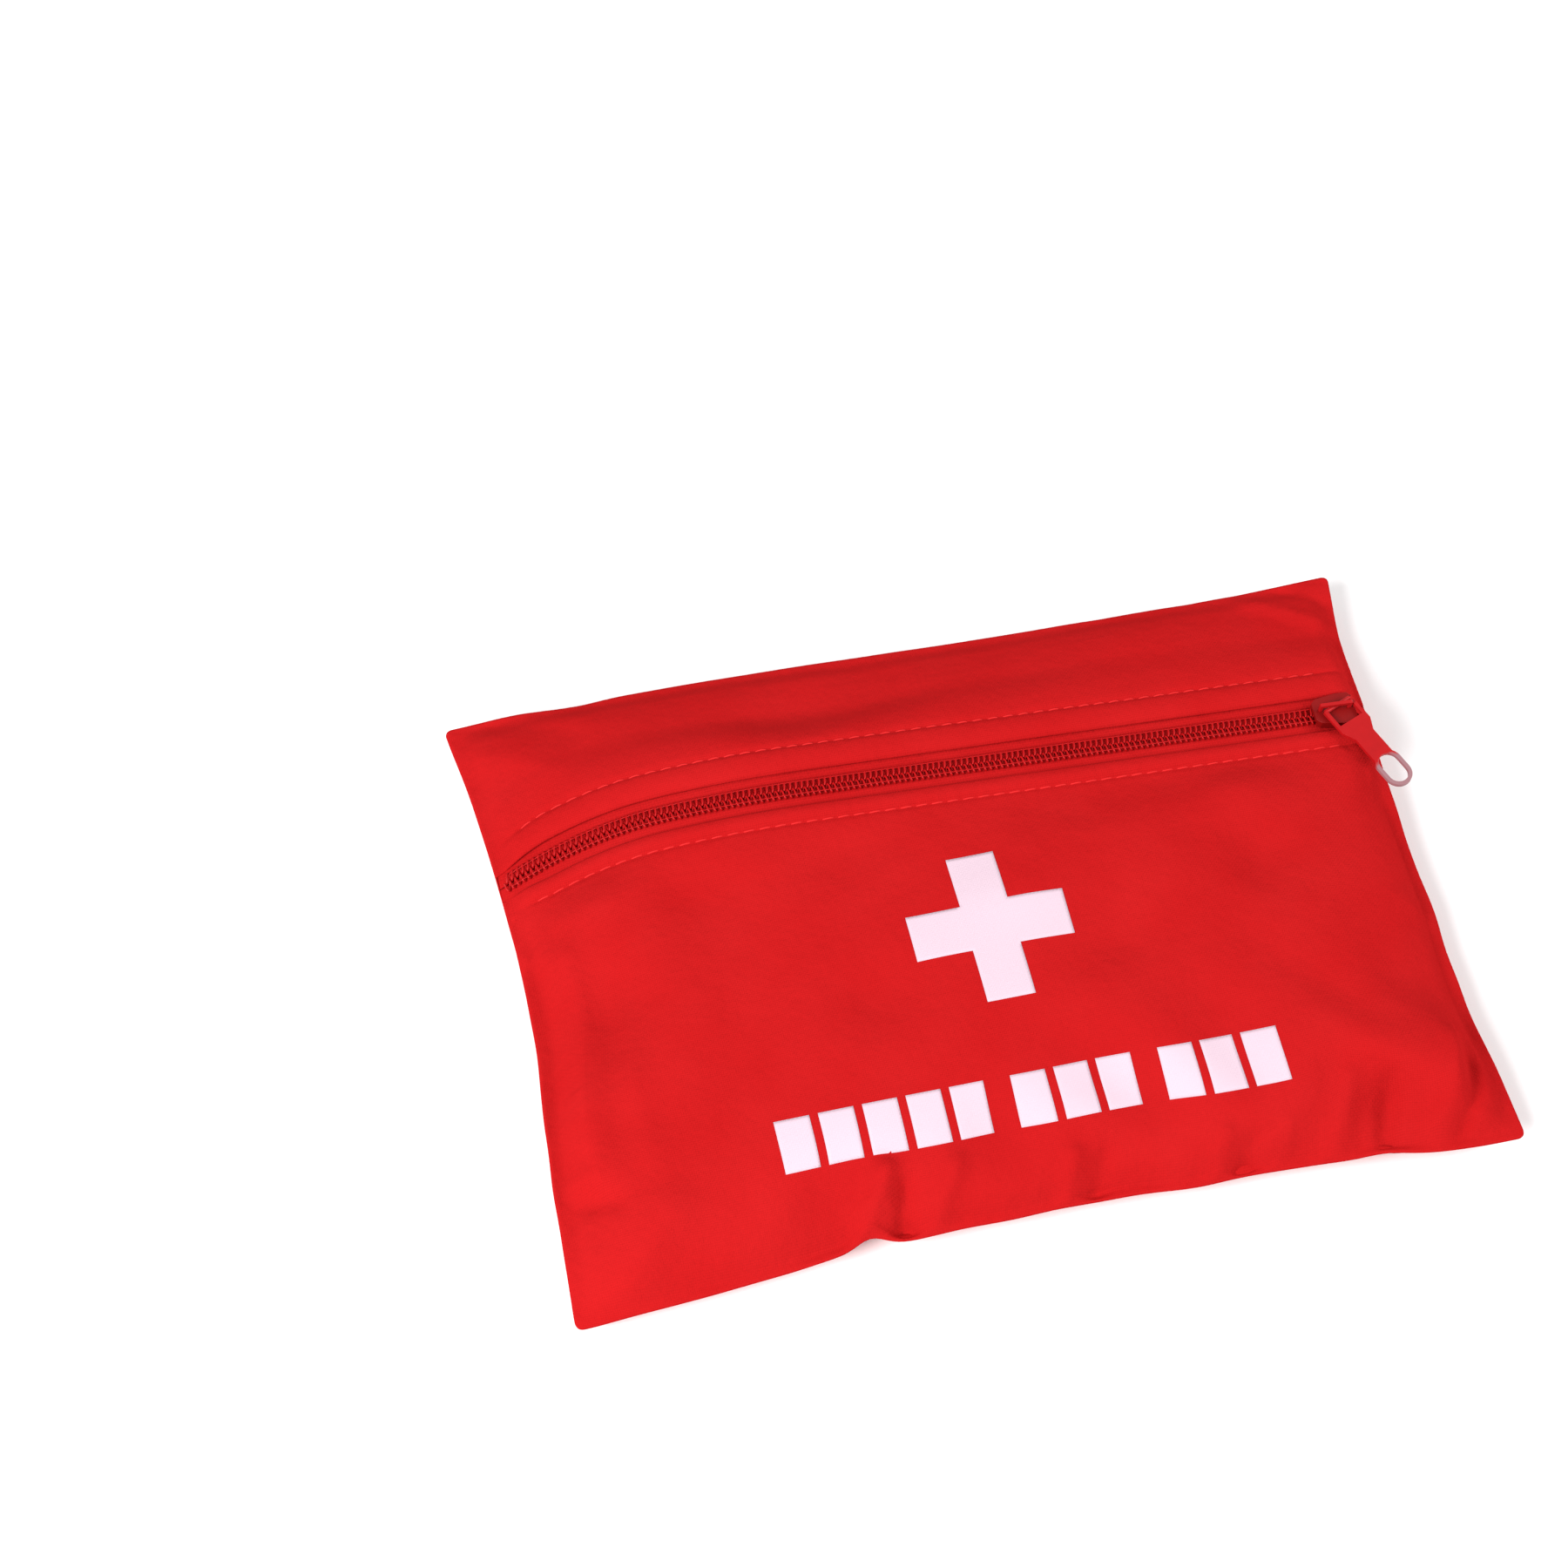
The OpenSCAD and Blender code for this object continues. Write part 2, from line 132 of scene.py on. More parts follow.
def uv_of(x, y):
    """Places in the plan as shares of the outline, from -1 to 1 each way."""
    return x / side_x(y), np.where(y > 0, y / HALF_H, y / -bottom_y(x))


def zip_y(x):
    """The zip's middle line: straight, and curving down as it runs into the left seam."""
    droop = ZIP_DROOP * clamp01((DROOP_X - x) / DROOP_LENGTH) ** 1.8
    return SLIDER[1] + ZIP_SKEW * (SLIDER[0] - x) - droop


def zip_line(x):
    """Height of the slider's straight path."""
    return SLIDER[2] + ZIP_SLOPE * (SLIDER[0] - x)


def seam_at(x, y):
    rise = smooth((x / HALF_W - 0.55) / 0.4)
    return SEAM_Z + SEAM_RISE * rise * hill(y, SLIDER[1], RISE_R)


def zip_z(x):
    """Height of the closed zip: the slider's path, meeting the seams at both ends."""
    x = np.asarray(x, float)
    end = side_x(zip_y(x))
    fall = 1 - (1 - clamp01((x + end) / (DROP_X + end))) ** 2
    left = SEAM_Z + (zip_line(x) - SEAM_Z) * fall
    start = SLIDER[0] + SLIDER_REACH
    right = mix(zip_line(start), seam_at(x, SLIDER[1]), smooth((x - start) / (end - start)))
    return np.where(x < DROP_X, left, np.where(x > start, right, zip_line(x)))


def front_z(x, y):
    """Height of the front: puffed, but level along the zip."""
    u, v = uv_of(x, y)
    crown = bulge((v - CROWN_V) / np.where(v > CROWN_V, 1 - CROWN_V, 1 + CROWN_V), 2.4)
    puffed = seam_at(x, y) + CLOTH_T + CROWN * bulge(u, 3) * crown
    off = y - zip_y(x)
    off_rim = smooth((1 - np.abs(u)) / 0.035)
    level = zip_z(x) + HEM_RISE
    plane = mix(level, seam_at(x, y) + CLOTH_T, clamp01(off / (HALF_H - zip_y(x))))
    soft = mix(puffed, plane, STRIP_FLAT * smooth(off / 6) * off_rim)
    share = 1 - smooth((np.abs(off) - PLATEAU) / PLATEAU_FADE)
    return mix(soft, level, share * off_rim)


def back_z(x, y):
    """Height of the back: flat, with a rounded rim."""
    u, v = uv_of(x, y)
    qu = clamp01((np.abs(u) - 0.87) / (BAND - 0.87))
    qv = clamp01((np.abs(v) - 0.82) / (BAND - 0.82))
    q = clamp01(np.hypot(qu, qv))
    return (seam_at(x, y) - CLOTH_T) * (1 - np.sqrt(1 - q * q))


# ---- simulated creases
SIM_NU, SIM_NV = 61, 43
SIM_SCALE = 100.0  # millimetres to one simulation unit
SIM_FRAMES = 30
FINE_BLUR, WIDE_BLUR = 0.9, 4.5  # grid cells: the creases kept are those between the two


def smooth_noise(rng, rows, cols, cell):
    """Random values on a coarse grid, spread over rows by cols."""
    coarse = rng.randn(rows // cell + 2, cols // cell + 2)
    across = np.linspace(0, coarse.shape[1] - 1, cols)
    down = np.linspace(0, coarse.shape[0] - 1, rows)
    wide = np.array([np.interp(across, np.arange(coarse.shape[1]), r) for r in coarse])
    return np.array([np.interp(down, np.arange(coarse.shape[0]), c) for c in wide.T]).T


def sim_mesh():
    """Two flat sheets sewn together round the rim, as the pouch is cut."""
    u, v = np.meshgrid(np.linspace(-1, 1, SIM_NU), np.linspace(-1, 1, SIM_NV))
    rim = (np.abs(u) == 1) | (np.abs(v) == 1)
    inside = (1 - u**8) * (1 - v**8)
    rng = np.random.RandomState(3)
    sheets = []
    for sign in (1, -1):
        z = (sign * 0.012 + 0.02 * smooth_noise(rng, SIM_NV, SIM_NU, 6)) * inside
        sheets.append(np.stack([u * HALF_W / SIM_SCALE, v * HALF_H / SIM_SCALE, z], -1))
    front = np.arange(u.size).reshape(u.shape)
    back = front.copy()
    back[~rim] = u.size + np.arange((~rim).sum())
    points = np.concatenate([sheets[0].reshape(-1, 3), sheets[1][~rim]])
    odd = np.add.outer(np.arange(SIM_NV - 1), np.arange(SIM_NU - 1)).ravel() % 2 == 1
    faces = []
    for ids, turn in ((front, 1), (back, -1)):
        q = quads(ids)
        one = np.where(odd[:, None], q[:, [0, 1, 2]], q[:, [0, 1, 3]])
        two = np.where(odd[:, None], q[:, [0, 2, 3]], q[:, [1, 2, 3]])
        faces += np.concatenate([one, two])[:, ::turn].tolist()
    return points, faces, front, back


def blurred(grid, cells):
    """Gaussian blur along both directions, with the borders kept in place."""
    reach = int(3 * cells + 1)
    kernel = np.exp(-0.5 * (np.arange(-reach, reach + 1) / cells) ** 2)
    kernel /= kernel.sum()
    for axis in (0, 1):
        pad = [(0, 0)] * 3
        pad[axis] = (reach, reach)
        wide = np.pad(grid, pad, mode="reflect", reflect_type="odd")
        grid = np.apply_along_axis(lambda row: np.convolve(row, kernel, "valid"), axis, wide)
    return grid


def simulate():
    """Creases of the inflated cloth as displacements in millimetres, for the front and the back."""
    points, faces, front, back = sim_mesh()
    mesh = bpy.data.meshes.new("sim")
    mesh.from_pydata(points.tolist(), [], faces)
    ob = added("sim", mesh)
    m = ob.modifiers.new("Cloth", "CLOTH")
    m.collision_settings.use_collision = False
    s = m.settings
    s.quality, s.mass, s.air_damping = 6, 0.3, 5.0
    s.tension_stiffness = s.compression_stiffness = 80
    s.shear_stiffness, s.bending_stiffness = 10, 5
    s.tension_damping = s.compression_damping = s.shear_damping = 10
    s.bending_damping = 2
    s.use_pressure, s.uniform_pressure_force = True, 1.5
    s.effector_weights.gravity = 0
    m.point_cache.frame_end = SIM_FRAMES
    for f in range(1, SIM_FRAMES + 1):
        bpy.context.scene.frame_set(f)
    done = ob.evaluated_get(bpy.context.evaluated_depsgraph_get()).to_mesh()
    co = np.empty(len(points) * 3)
    done.vertices.foreach_get("co", co)
    co = co.reshape(-1, 3) * SIM_SCALE
    bpy.data.objects.remove(ob)
    bpy.context.scene.frame_set(1)
    return [blurred(co[ids], FINE_BLUR) - blurred(co[ids], WIDE_BLUR) for ids in (front, back)]


def sampled(grid, u, v):
    """Catmull-Rom values of a grid that spans u and v from -1 to 1."""
    rows, cols = grid.shape[:2]
    wide = np.pad(grid, ((1, 2), (1, 2), (0, 0)), mode="reflect", reflect_type="odd")
    fu, fv = clamp01((u + 1) / 2) * (cols - 1), clamp01((v + 1) / 2) * (rows - 1)
    iu, iv = np.minimum(fu.astype(int), cols - 2), np.minimum(fv.astype(int), rows - 2)

    def weights(t):
        return [
            (-t + 2 * t**2 - t**3) / 2, (2 - 5 * t**2 + 3 * t**3) / 2,
            (t + 4 * t**2 - 3 * t**3) / 2, (t**3 - t**2) / 2,
        ]

    total = 0
    for j, wv in enumerate(weights(fv - iv)):
        for i, wu in enumerate(weights(fu - iu)):
            total = total + (wv * wu)[..., None] * wide[iv + j, iu + i]
    return total


DETAIL = simulate()
DETAIL_GAIN = 1.35


# ---- listed folds
def fold(x, y, p0, p1, width, height):
    """A ridge (height > 0) or valley along the line from p0 to p1, fading at its ends."""
    d = np.subtract(p1, p0)
    length = np.hypot(*d)
    t = ((x - p0[0]) * d[0] + (y - p0[1]) * d[1]) / length**2
    off = ((x - p0[0]) * d[1] - (y - p0[1]) * d[0]) / length
    ends = smooth((t + 0.15) / 0.3) * (1 - smooth((t - 0.85) / 0.3))
    down = np.sqrt(off**2 + 0.12) - 0.35        # distance from a slightly rounded crest
    return height * np.maximum(0, 1 - down / (1.6 * width)) ** 1.4 * ends


FOLD_GAIN = 1.9
FOLDS = [       # each fold's ends in the plan, its width and its height
    # the kink and the puckers along the bottom seam
    ((-40, -67), (-33, -52), 3.0, 1.9), ((-32, -66), (-30, -55), 2.0, -1.5),
    ((-26, -66), (-19, -53), 2.4, 1.0), ((2, -66), (5, -56), 2.2, 1.0),
    ((8, -66), (12, -57), 2.0, -0.8), ((33, -67), (37, -57), 2.4, 0.9),
    ((39, -67), (43, -58), 2.0, -1.0), ((47, -66), (50, -57), 2.2, 0.6),
    # the facets of the bottom right corner
    ((58, -67), (65, -52), 3.0, 1.0), ((70, -66), (73, -52), 2.2, -1.3),
    ((80, -66), (87, -46), 2.8, 1.5), ((86, -66), (91, -52), 2.0, -1.1),
    ((95, -62), (92, -50), 2.4, 0.6),
    # the ridge down the left side and the dent at its foot
    ((-86, 6), (-87, -46), 3.6, 1.4), ((-77, -8), (-78, -42), 2.6, 0.5),
    ((-93, -46), (-84, -49), 2.2, -0.9), ((-94, -41), (-87, -43), 2.4, 0.6),
    ((-90, -66), (-74, -50), 3.6, 0.6),
    # the top corners, and a pull at each side
    ((78, 67), (97, 54), 2.4, 0.7), ((87, 69), (98, 62), 1.8, -0.5),
    ((-97, 62), (-78, 50), 4.0, 0.6), ((-92, 69), (-72, 58), 3.0, -0.4),
    ((95, -20), (86, -14), 3.0, 0.4), ((-96, 12), (-84, 6), 3.6, 0.4),
]
RIM_WAVES = ((0.22, 9, 0.7), (0.16, 17, 2.1), (0.12, 31, 0.0))    # height, count round the rim, phase


def loose(u, v):
    """How freely the sewn edge waves: most along the bottom, left of its right third."""
    return 0.22 + 0.78 * smooth((-v - 0.6) / 0.3) * (1 - 0.8 * smooth((u - 0.35) / 0.25))


def rim_shift(x, y):
    """How the sewn edge leaves its plain outline, in the plan and in height, for both panels."""
    along = np.arctan2(y / HALF_H, x / HALF_W)
    u, v = uv_of(x, y)
    far_u, far_v, free = np.abs(u), np.abs(v), loose(u, v)
    near = smooth((np.maximum(far_u, far_v) - 0.8) / 0.18)
    calm = zip_calm(x, y)
    wave = sum(high * np.sin(count * along + phase) for high, count, phase in RIM_WAVES) * free
    wave_u, wave_v = smooth((far_u - 0.8) / 0.2) * wave, smooth((far_v - 0.8) / 0.2) * wave * 0.8
    kink = hill(x, -38.8, 4.0) * smooth((-y - 45) / 20)
    # each edge bows in or out where the filling pulls at it
    right = 1.8 * hill(y, -4, 30) * (x > 0)
    left = -2.2 * hill(y, -36, 20) * (x < 0)
    top = -1.5 * smooth((x + 60) / 120) * (y > 0)
    bottom = (-1.7 * hill(x, 76, 14) - 1.2 * hill(x, -74, 18)) * (y < 0)
    # the top right corner curls up beyond a slanting line, and the others hang
    beyond = ((x - 79) * 16 + (y - 70) * 18) / math.hypot(16, 18)
    curl = 0.13 * (np.sqrt(beyond**2 + 0.3) + beyond) / 2 * (x > 0) * (y > 0)
    corner = smooth((far_u - 0.72) / 0.28) * smooth((far_v - 0.6) / 0.4)
    drop = np.where(x < 0, -2.0, np.where(y < 0, -1.2, 0.0)) * corner**2
    swing = 0.5 * np.sin(7 * along + 1.0) * near * calm * free
    shift = np.zeros(np.shape(x) + (3,))
    shift[..., 0] = -np.sign(x) * near * wave_u * calm + smooth((far_u - 0.7) / 0.3) * (right + left)
    shift[..., 1] = (-np.sign(y) * wave_v + 1.6 * kink) * near * calm
    shift[..., 1] += smooth((far_v - 0.7) / 0.3) * (top + bottom)
    shift[..., 2] = drop + curl + swing + 1.2 * kink
    return shift


def zip_calm(x, y):
    """0 along the zip and 1 away from it: the tapes keep the cloth straight."""
    return smooth((np.abs(y - zip_y(x)) - 7) / 11)


def edge_distances(x, y):
    """From a place in the plan to the side, and to the top or bottom edge."""
    edge_y = np.where(y > 0, HALF_H, -bottom_y(x))
    return side_x(y) - np.abs(x), edge_y - np.abs(y)


def rounded_corners(x, y, radius=1.8):
    """Moves plan points so that the square corners are round."""
    s, t = (np.clip(radius - d, 0, radius) for d in edge_distances(x, y))
    nx = s * np.sqrt(1 - t**2 / (2 * radius**2)) - s
    ny = t * np.sqrt(1 - s**2 / (2 * radius**2)) - t
    return x + np.sign(x) * nx, y + np.sign(y) * ny


def turned(d):
    """Share of the full height at a distance d from the turned seam: a quarter round."""
    t = 1 - clamp01(d / TURN_R)
    return np.sqrt(1 - t * t)


def hem_gap(x):
    """From the zip's middle line to each fold: the hems close in towards the side seams."""
    return HEM_GAP - 1.2 * smooth((-x - 84) / 13) - 1.4 * smooth((x - 91) / 5)


def hem_relief(x, y):
    """The folded hems: puffed between the fold and its topstitch, pressed down at the stitches."""
    off = y - zip_y(x)
    lower, upper = -off - hem_gap(x), off - hem_gap(x)
    total = 0
    for d, stitch in ((lower, LOWER_STITCH), (upper, UPPER_STITCH)):
        puff = np.sin(math.pi * clamp01(d / stitch)) ** 0.7 * 0.85
        pull = 0.38 * hill(d, stitch, 0.6)
        pucker = 0.12 * np.sin(math.tau * x / STITCH_PITCH) * hill(d, stitch, 1.8)
        total = total + np.where(d > -0.5, puff - pull + pucker, 0)
    return total * smooth((side_x(y) - np.abs(x) - 2) / 5)


def cloth(x, y, side, lift=0.0):
    """Points on the outside of the cloth. side 0 is the front and 1 the back; lift is outward."""
    x, y = np.broadcast_arrays(np.asarray(x, float), np.asarray(y, float))
    u, v = uv_of(x, y)
    dx, dy = edge_distances(x, y)
    edge = np.minimum(dx, dy)
    outward = np.maximum(np.abs(u), np.abs(v))
    seam, calm = seam_at(x, y), zip_calm(x, y)
    q = turned(dx) * turned(dy) * (0.55 + 0.45 * smooth((edge - 1.0) / 5))
    # the seam allowance inside makes the rim thicker, and its stitches ripple it
    ripple = 0.10 * np.sin(math.tau * (x + y) / 3.1)
    ripple = ripple + 0.08 * np.sin(math.tau * (x - y) / 5.3 + 1)
    allowance = 0.22 * (1 - smooth((edge - 6.0) / 1.8)) + ripple * hill(edge, 1.8, 1.6)
    rim, free = smooth((outward - 0.86) / 0.12), loose(u, v)
    if side == 0:
        relief = FOLD_GAIN * sum(fold(x, y, *f) for f in FOLDS) * calm * smooth(edge / 1.5)
        z = seam + q * (front_z(x, y) - seam + 0.05 + allowance * calm) + hem_relief(x, y) + relief
        # creases are strongest near the edges, calm at the right and above the zip
        busy = 0.55 + 0.45 * smooth((outward - 0.5) / 0.3)
        busy = busy - 0.5 * smooth((u - 0.6) / 0.25) * smooth((v + 0.7) / 0.3)
        taut = 1 - 0.6 * smooth((y - 33) / 8)
        keep = calm * mix(busy * taut, free, rim)
        shift = sampled(DETAIL[0], u, v) * keep[..., None] * DETAIL_GAIN
    else:
        z = seam - q * (seam - back_z(x, y) + 0.3 * allowance * calm * smooth((0.995 - np.abs(u)) * 50))
        keep = (1 - (1 - calm) * smooth((np.abs(u) - 0.75) / 0.2)) * mix(1, free, rim)
        shift = sampled(DETAIL[1], u, v) * keep[..., None] * DETAIL_GAIN
        off_floor = smooth(z / 1.5)
        shift = shift * (0.25 + 0.75 * off_floor)[..., None]
    px, py = rounded_corners(x, y)
    points = np.stack([px, py, z], -1) + shift + rim_shift(x, y)
    if side == 1:       # nothing goes below the floor
        low, soft = points[..., 2], 0.6
        points[..., 2] = np.where(low < soft, soft * np.exp(np.minimum(low - soft, 0) / soft), low)
    if np.any(lift):
        step = 0.25
        gu = cloth(x + step, y, side) - cloth(x - step, y, side)
        gv = cloth(x, y + step, side) - cloth(x, y - step, side)
        normal = np.cross(gu, gv)
        normal /= np.linalg.norm(normal, axis=-1, keepdims=True)
        points = points + normal * np.asarray(lift)[..., None] * (1 if side == 0 else -1)
    return points


# ---- how the cloth follows the zip
def hump(x):
    """Share of the mouth's opening that lifts the zip to the slider's straight path."""
    reach = HINGE_Y - zip_y(x)
    rise = np.maximum(0, zip_line(x) - zip_z(x))
    angle = np.degrees(np.arcsin(np.minimum(0.9, rise / reach)))
    return angle / HINGE_DEG * smooth((x + 95.6) / 11.6) * (x < 0)


def upper_weight(x, y):
    """1 where the strip lifts with the lip, 0 at its sewn top edge and at the zip's right end."""
    opened = smooth((x + 72) / 42)  # from the slider's left end to where the lip is free
    closing = smooth((x - 60) / 35.5)
    sewn = smooth((y - 65) / 4.8)
    return mix(hump(x), 1.0, opened) * (1 - closing) * (1 - sewn)


def lower_weight(x, y):
    """The front panel only rises with the zip at its left end, less and less below it."""
    reach, away = HINGE_Y - zip_y(x), np.maximum(0, zip_y(x) - y)
    return hump(x) * (1 - smooth((away - 3) / 24)) * reach / (reach + away)


def stands_for(ob, node, weight=None, plan=None):
    """ob replaces a CAD node and rides on the pouch; given a weight, it is baked in place instead, and its
    weight at each point is worked out but not used.
    """
    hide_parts(node)
    if weight is None:
        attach(ob, "pouch")
        return
    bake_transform(ob)
    values = weight(plan[..., 0], plan[..., 1]).astype(np.float32).ravel()


# ---- mesh helpers
def grid_faces(rows, cols, close_cols=False, start=0):
    ids = start + np.arange(rows * cols).reshape(rows, cols)
    if close_cols:
        ids = np.concatenate([ids, ids[:, :1]], 1)
    return quads(ids)


def make(name, points, faces, material, flat=None):
    """A mesh object from points in millimetres; flat holds the cloth's own coordinates."""
    mesh = bpy.data.meshes.new(name)
    places = (np.asarray(points).reshape(-1, 3) * MM).tolist()
    mesh.from_pydata(places, [], [list(map(int, f)) for f in faces])
    mesh.validate()
    if flat is not None:
        layer = mesh.attributes.new("flat", "FLOAT_VECTOR", "POINT")
        layer.data.foreach_set("vector", np.asarray(flat, np.float32).ravel())
    mesh.polygons.foreach_set("use_smooth", [True] * len(mesh.polygons))
    mesh.materials.append(material)
    return added(name, mesh)


def thicken(ob, thickness, offset=-1):
    m = ob.modifiers.new("Thickness", "SOLIDIFY")
    m.thickness, m.offset, m.use_even_offset = thickness * MM, offset, False


def rounded_off(ob):
    m = ob.modifiers.new("Smooth", "SUBSURF")
    m.levels = m.render_levels = 1


def distances(steps):
    """Lengths along a path from its start, from the length of each step."""
    return np.concatenate([[0], np.cumsum(steps)])


def tubes(paths, radius, sides):
    """Points and faces of round tubes along paths, an array of (count, steps, 3)."""
    paths = np.asarray(paths, float)
    tangent = np.gradient(paths, axis=1)
    tangent /= np.linalg.norm(tangent, axis=-1, keepdims=True)
    up = np.zeros_like(tangent)
    up[..., 2] = 1
    side = np.cross(up, tangent)
    flat_side = np.linalg.norm(side, axis=-1, keepdims=True)
    side = np.where(flat_side > 0.05, side / np.maximum(flat_side, 1e-9), [0, 1, 0])
    up = np.cross(tangent, side)
    angle = math.tau * np.arange(sides) / sides
    ring = side[:, :, None] * np.cos(angle)[:, None] + up[:, :, None] * np.sin(angle)[:, None]
    radius = np.broadcast_to(radius, paths.shape[:2])
    points = paths[:, :, None] + ring * radius[..., None, None]
    count, steps = paths.shape[:2]
    faces = []
    for i in range(count):
        start = i * steps * sides
        faces += grid_faces(steps, sides, True, start).tolist()
        faces.append(list(range(start, start + sides))[::-1])
        last = start + (steps - 1) * sides
        faces.append(list(range(last, last + sides)))
    return points.reshape(-1, 3), faces


# ---- materials
class Nodes:
    """Short names for making material nodes."""

    def __init__(self, name):
        self.material = bpy.data.materials.new(name)
        self.material.use_nodes = True
        self.tree = self.material.node_tree
        self.shader = self.tree.nodes["Principled BSDF"]

    def node(self, kind, **settings):
        n = self.tree.nodes.new(kind)
        for key, value in settings.items():
            setattr(n, key, value)
        return n

    def put(self, socket, value):
        if isinstance(value, bpy.types.NodeSocket):
            self.tree.links.new(value, socket)
        else:
            socket.default_value = value

    def xyz(self, vector):
        n = self.node("ShaderNodeSeparateXYZ")
        self.put(n.inputs[0], vector)
        return n.outputs

    def math(self, op, a, b=0.0):
        n = self.node("ShaderNodeMath", operation=op)
        self.put(n.inputs[0], a)
        self.put(n.inputs[1], b)
        return n.outputs[0]

    def mul(self, a, b):
        return self.math("MULTIPLY", a, b)

    def add(self, a, b):
        return self.math("ADD", a, b)

    def noise(self, vector, scale, detail=3.0, rough=0.55):
        n = self.node("ShaderNodeTexNoise")
        for key, value in (("Vector", vector), ("Scale", scale), ("Detail", detail), ("Roughness", rough)):
            self.put(n.inputs[key], value)
        return n.outputs["Fac"]

    def ramp(self, value, *stops):
        n = self.node("ShaderNodeValToRGB")
        self.put(n.inputs[0], value)
        while len(n.color_ramp.elements) < len(stops):
            n.color_ramp.elements.new(0.5)
        for e, (at, colour) in zip(n.color_ramp.elements, stops):
            e.position = at
            e.color = (*colour, 1)
        return n.outputs["Color"]

    def mix_colour(self, factor, a, b, mode="MIX"):
        n = self.node("ShaderNodeMix", data_type="RGBA", blend_type=mode)
        self.put(n.inputs[0], factor)
        for socket, value in ((n.inputs[6], a), (n.inputs[7], b)):
            self.put(socket, (*value, 1) if isinstance(value, tuple) else value)
        return n.outputs[2]

    def bump(self, height, distance, strength=1.0, normal=None):
        n = self.node("ShaderNodeBump")
        for key, value in (("Height", height), ("Distance", distance), ("Strength", strength)):
            self.put(n.inputs[key], value)
        if normal is not None:
            self.put(n.inputs["Normal"], normal)
        return n.outputs["Normal"]

    def set(self, **values):
        for key, value in values.items():
            self.put(self.shader.inputs[key.replace("_", " ")], value)
        return self.material

    def flat(self):
        """The cloth's own coordinates in millimetres."""
        return self.node("ShaderNodeAttribute", attribute_name="flat").outputs["Vector"]

    def place(self):
        """The object's coordinates in metres."""
        return self.node("ShaderNodeTexCoord").outputs["Object"]


def weave_height(n, where, pitch):
    """A plain weave: warp and weft threads that pass over each other in turn."""
    along = n.xyz(where)
    waves = [n.math("SINE", n.mul(along[k], math.pi / pitch)) for k in (0, 1)]
    ribs = [n.math("ABSOLUTE", w) for w in waves]
    over = n.math("GREATER_THAN", n.mul(waves[0], waves[1]), 0.0)
    under = n.math("SUBTRACT", 1.0, over)
    return n.add(n.mul(ribs[0], over), n.mul(ribs[1], under))


def woven(name, base, light, pitch, roughness=0.55, sheen=0.1, tint=(1.0, 0.05, 0.05, 1.0)):
    """Woven cloth: threads in the bump, painted shade in the gaps between threads, soft mottling, small
    crumples and a sheen.
    """
    n = Nodes(name)
    where = n.flat()
    weave = weave_height(n, where, pitch)
    mottle = n.noise(where, 0.045, 4.0)
    slub = n.noise(where, 1.1, 2.0)
    colour = n.mix_colour(n.mul(mottle, 0.55), base, light)
    # the gaps between threads are darkened as painted shade; the slubs vary the tone at random
    shade = n.add(n.mul(weave, 0.16), n.mul(slub, 0.14))
    tone = n.ramp(shade, (0.0, (0.80, 0.80, 0.80)), (0.3, (1.0, 1.0, 1.0)))
    colour = n.mix_colour(1.0, colour, tone, "MULTIPLY")
    crinkle = n.bump(n.noise(where, 0.16, 3.0), 0.0009, 0.55)
    crumple = n.bump(n.noise(where, 0.55, 3.0), 0.0003, 0.5, crinkle)
    normal = n.bump(weave, 0.00006, 0.6, crumple)
    rough = n.add(roughness - 0.06, n.mul(slub, 0.12))
    return n.set(
        Base_Color=colour, Roughness=rough, Normal=normal, Specular_IOR_Level=0.0,
        Sheen_Weight=sheen, Sheen_Roughness=0.45, Sheen_Tint=tint,
    )


def enamel(name, base, wear_and_highlight_colour, pale_centre, reach):
    """Painted die-cast part, paler round a given point: wear through the enamel where fingers rub it, and
    painted highlight of the thin ring.
    """
    n = Nodes(name)
    where = n.place()
    away = n.node("ShaderNodeVectorMath", operation="DISTANCE")
    n.put(away.inputs[0], where)
    n.put(away.inputs[1], pale_centre)
    near = n.math("SUBTRACT", 1.0, n.math("DIVIDE", away.outputs["Value"], reach))
    patches = n.add(near, n.mul(n.noise(where, 700.0, 4.0), 0.25))
    # the pale patch: wear through the enamel, and painted highlight
    wear_and_highlight = n.ramp(patches, (0.20, (0, 0, 0)), (0.34, (1, 1, 1)))
    tone = n.mix_colour(n.noise(where, 300.0, 2.0), base, tuple(0.75 * c for c in base))
    peel = n.bump(n.noise(where, 1400.0, 2.0), 0.00004, 0.25)
    colour = n.mix_colour(wear_and_highlight, tone, wear_and_highlight_colour)
    return n.set(Base_Color=colour, Roughness=0.38, Normal=peel, Specular_IOR_Level=0.2)


RED = (0.425, 0.0070, 0.0080)
RED_LIGHT = (0.545, 0.0175, 0.0185)
COIL_RED = (0.36, 0.003, 0.004)
WHITE = (0.61, 0.46, 0.53)
WEAVE = 0.42  # from thread to thread in the pouch's cloth
CLOTH = woven("red_nylon", RED, RED_LIGHT, WEAVE)
BACK_CLOTH = woven("red_nylon_back", RED, RED_LIGHT, WEAVE, 0.58)
TAPE = woven("red_zip_tape", RED, RED_LIGHT, 0.6, 0.7, 0.05)
EYE = Vector(next(m["pos_m"] for m in frame["record"]["mounts"] if m["name"] == "pull_eye"))
TAB_DIRECTION = (EYE - Vector(SLIDER) * MM).normalized()
# pinkish grey of the ring, partly its bare die-cast body and partly painted highlight
RING_METAL_AND_HIGHLIGHT = (0.30, 0.15, 0.165)
# the pale patch round the pull's eye is partly wear and partly painted highlight
ENAMEL = enamel("red_enamel", (0.45, 0.007, 0.009), RING_METAL_AND_HIGHLIGHT, EYE + TAB_DIRECTION * 0.0015, 0.0055)
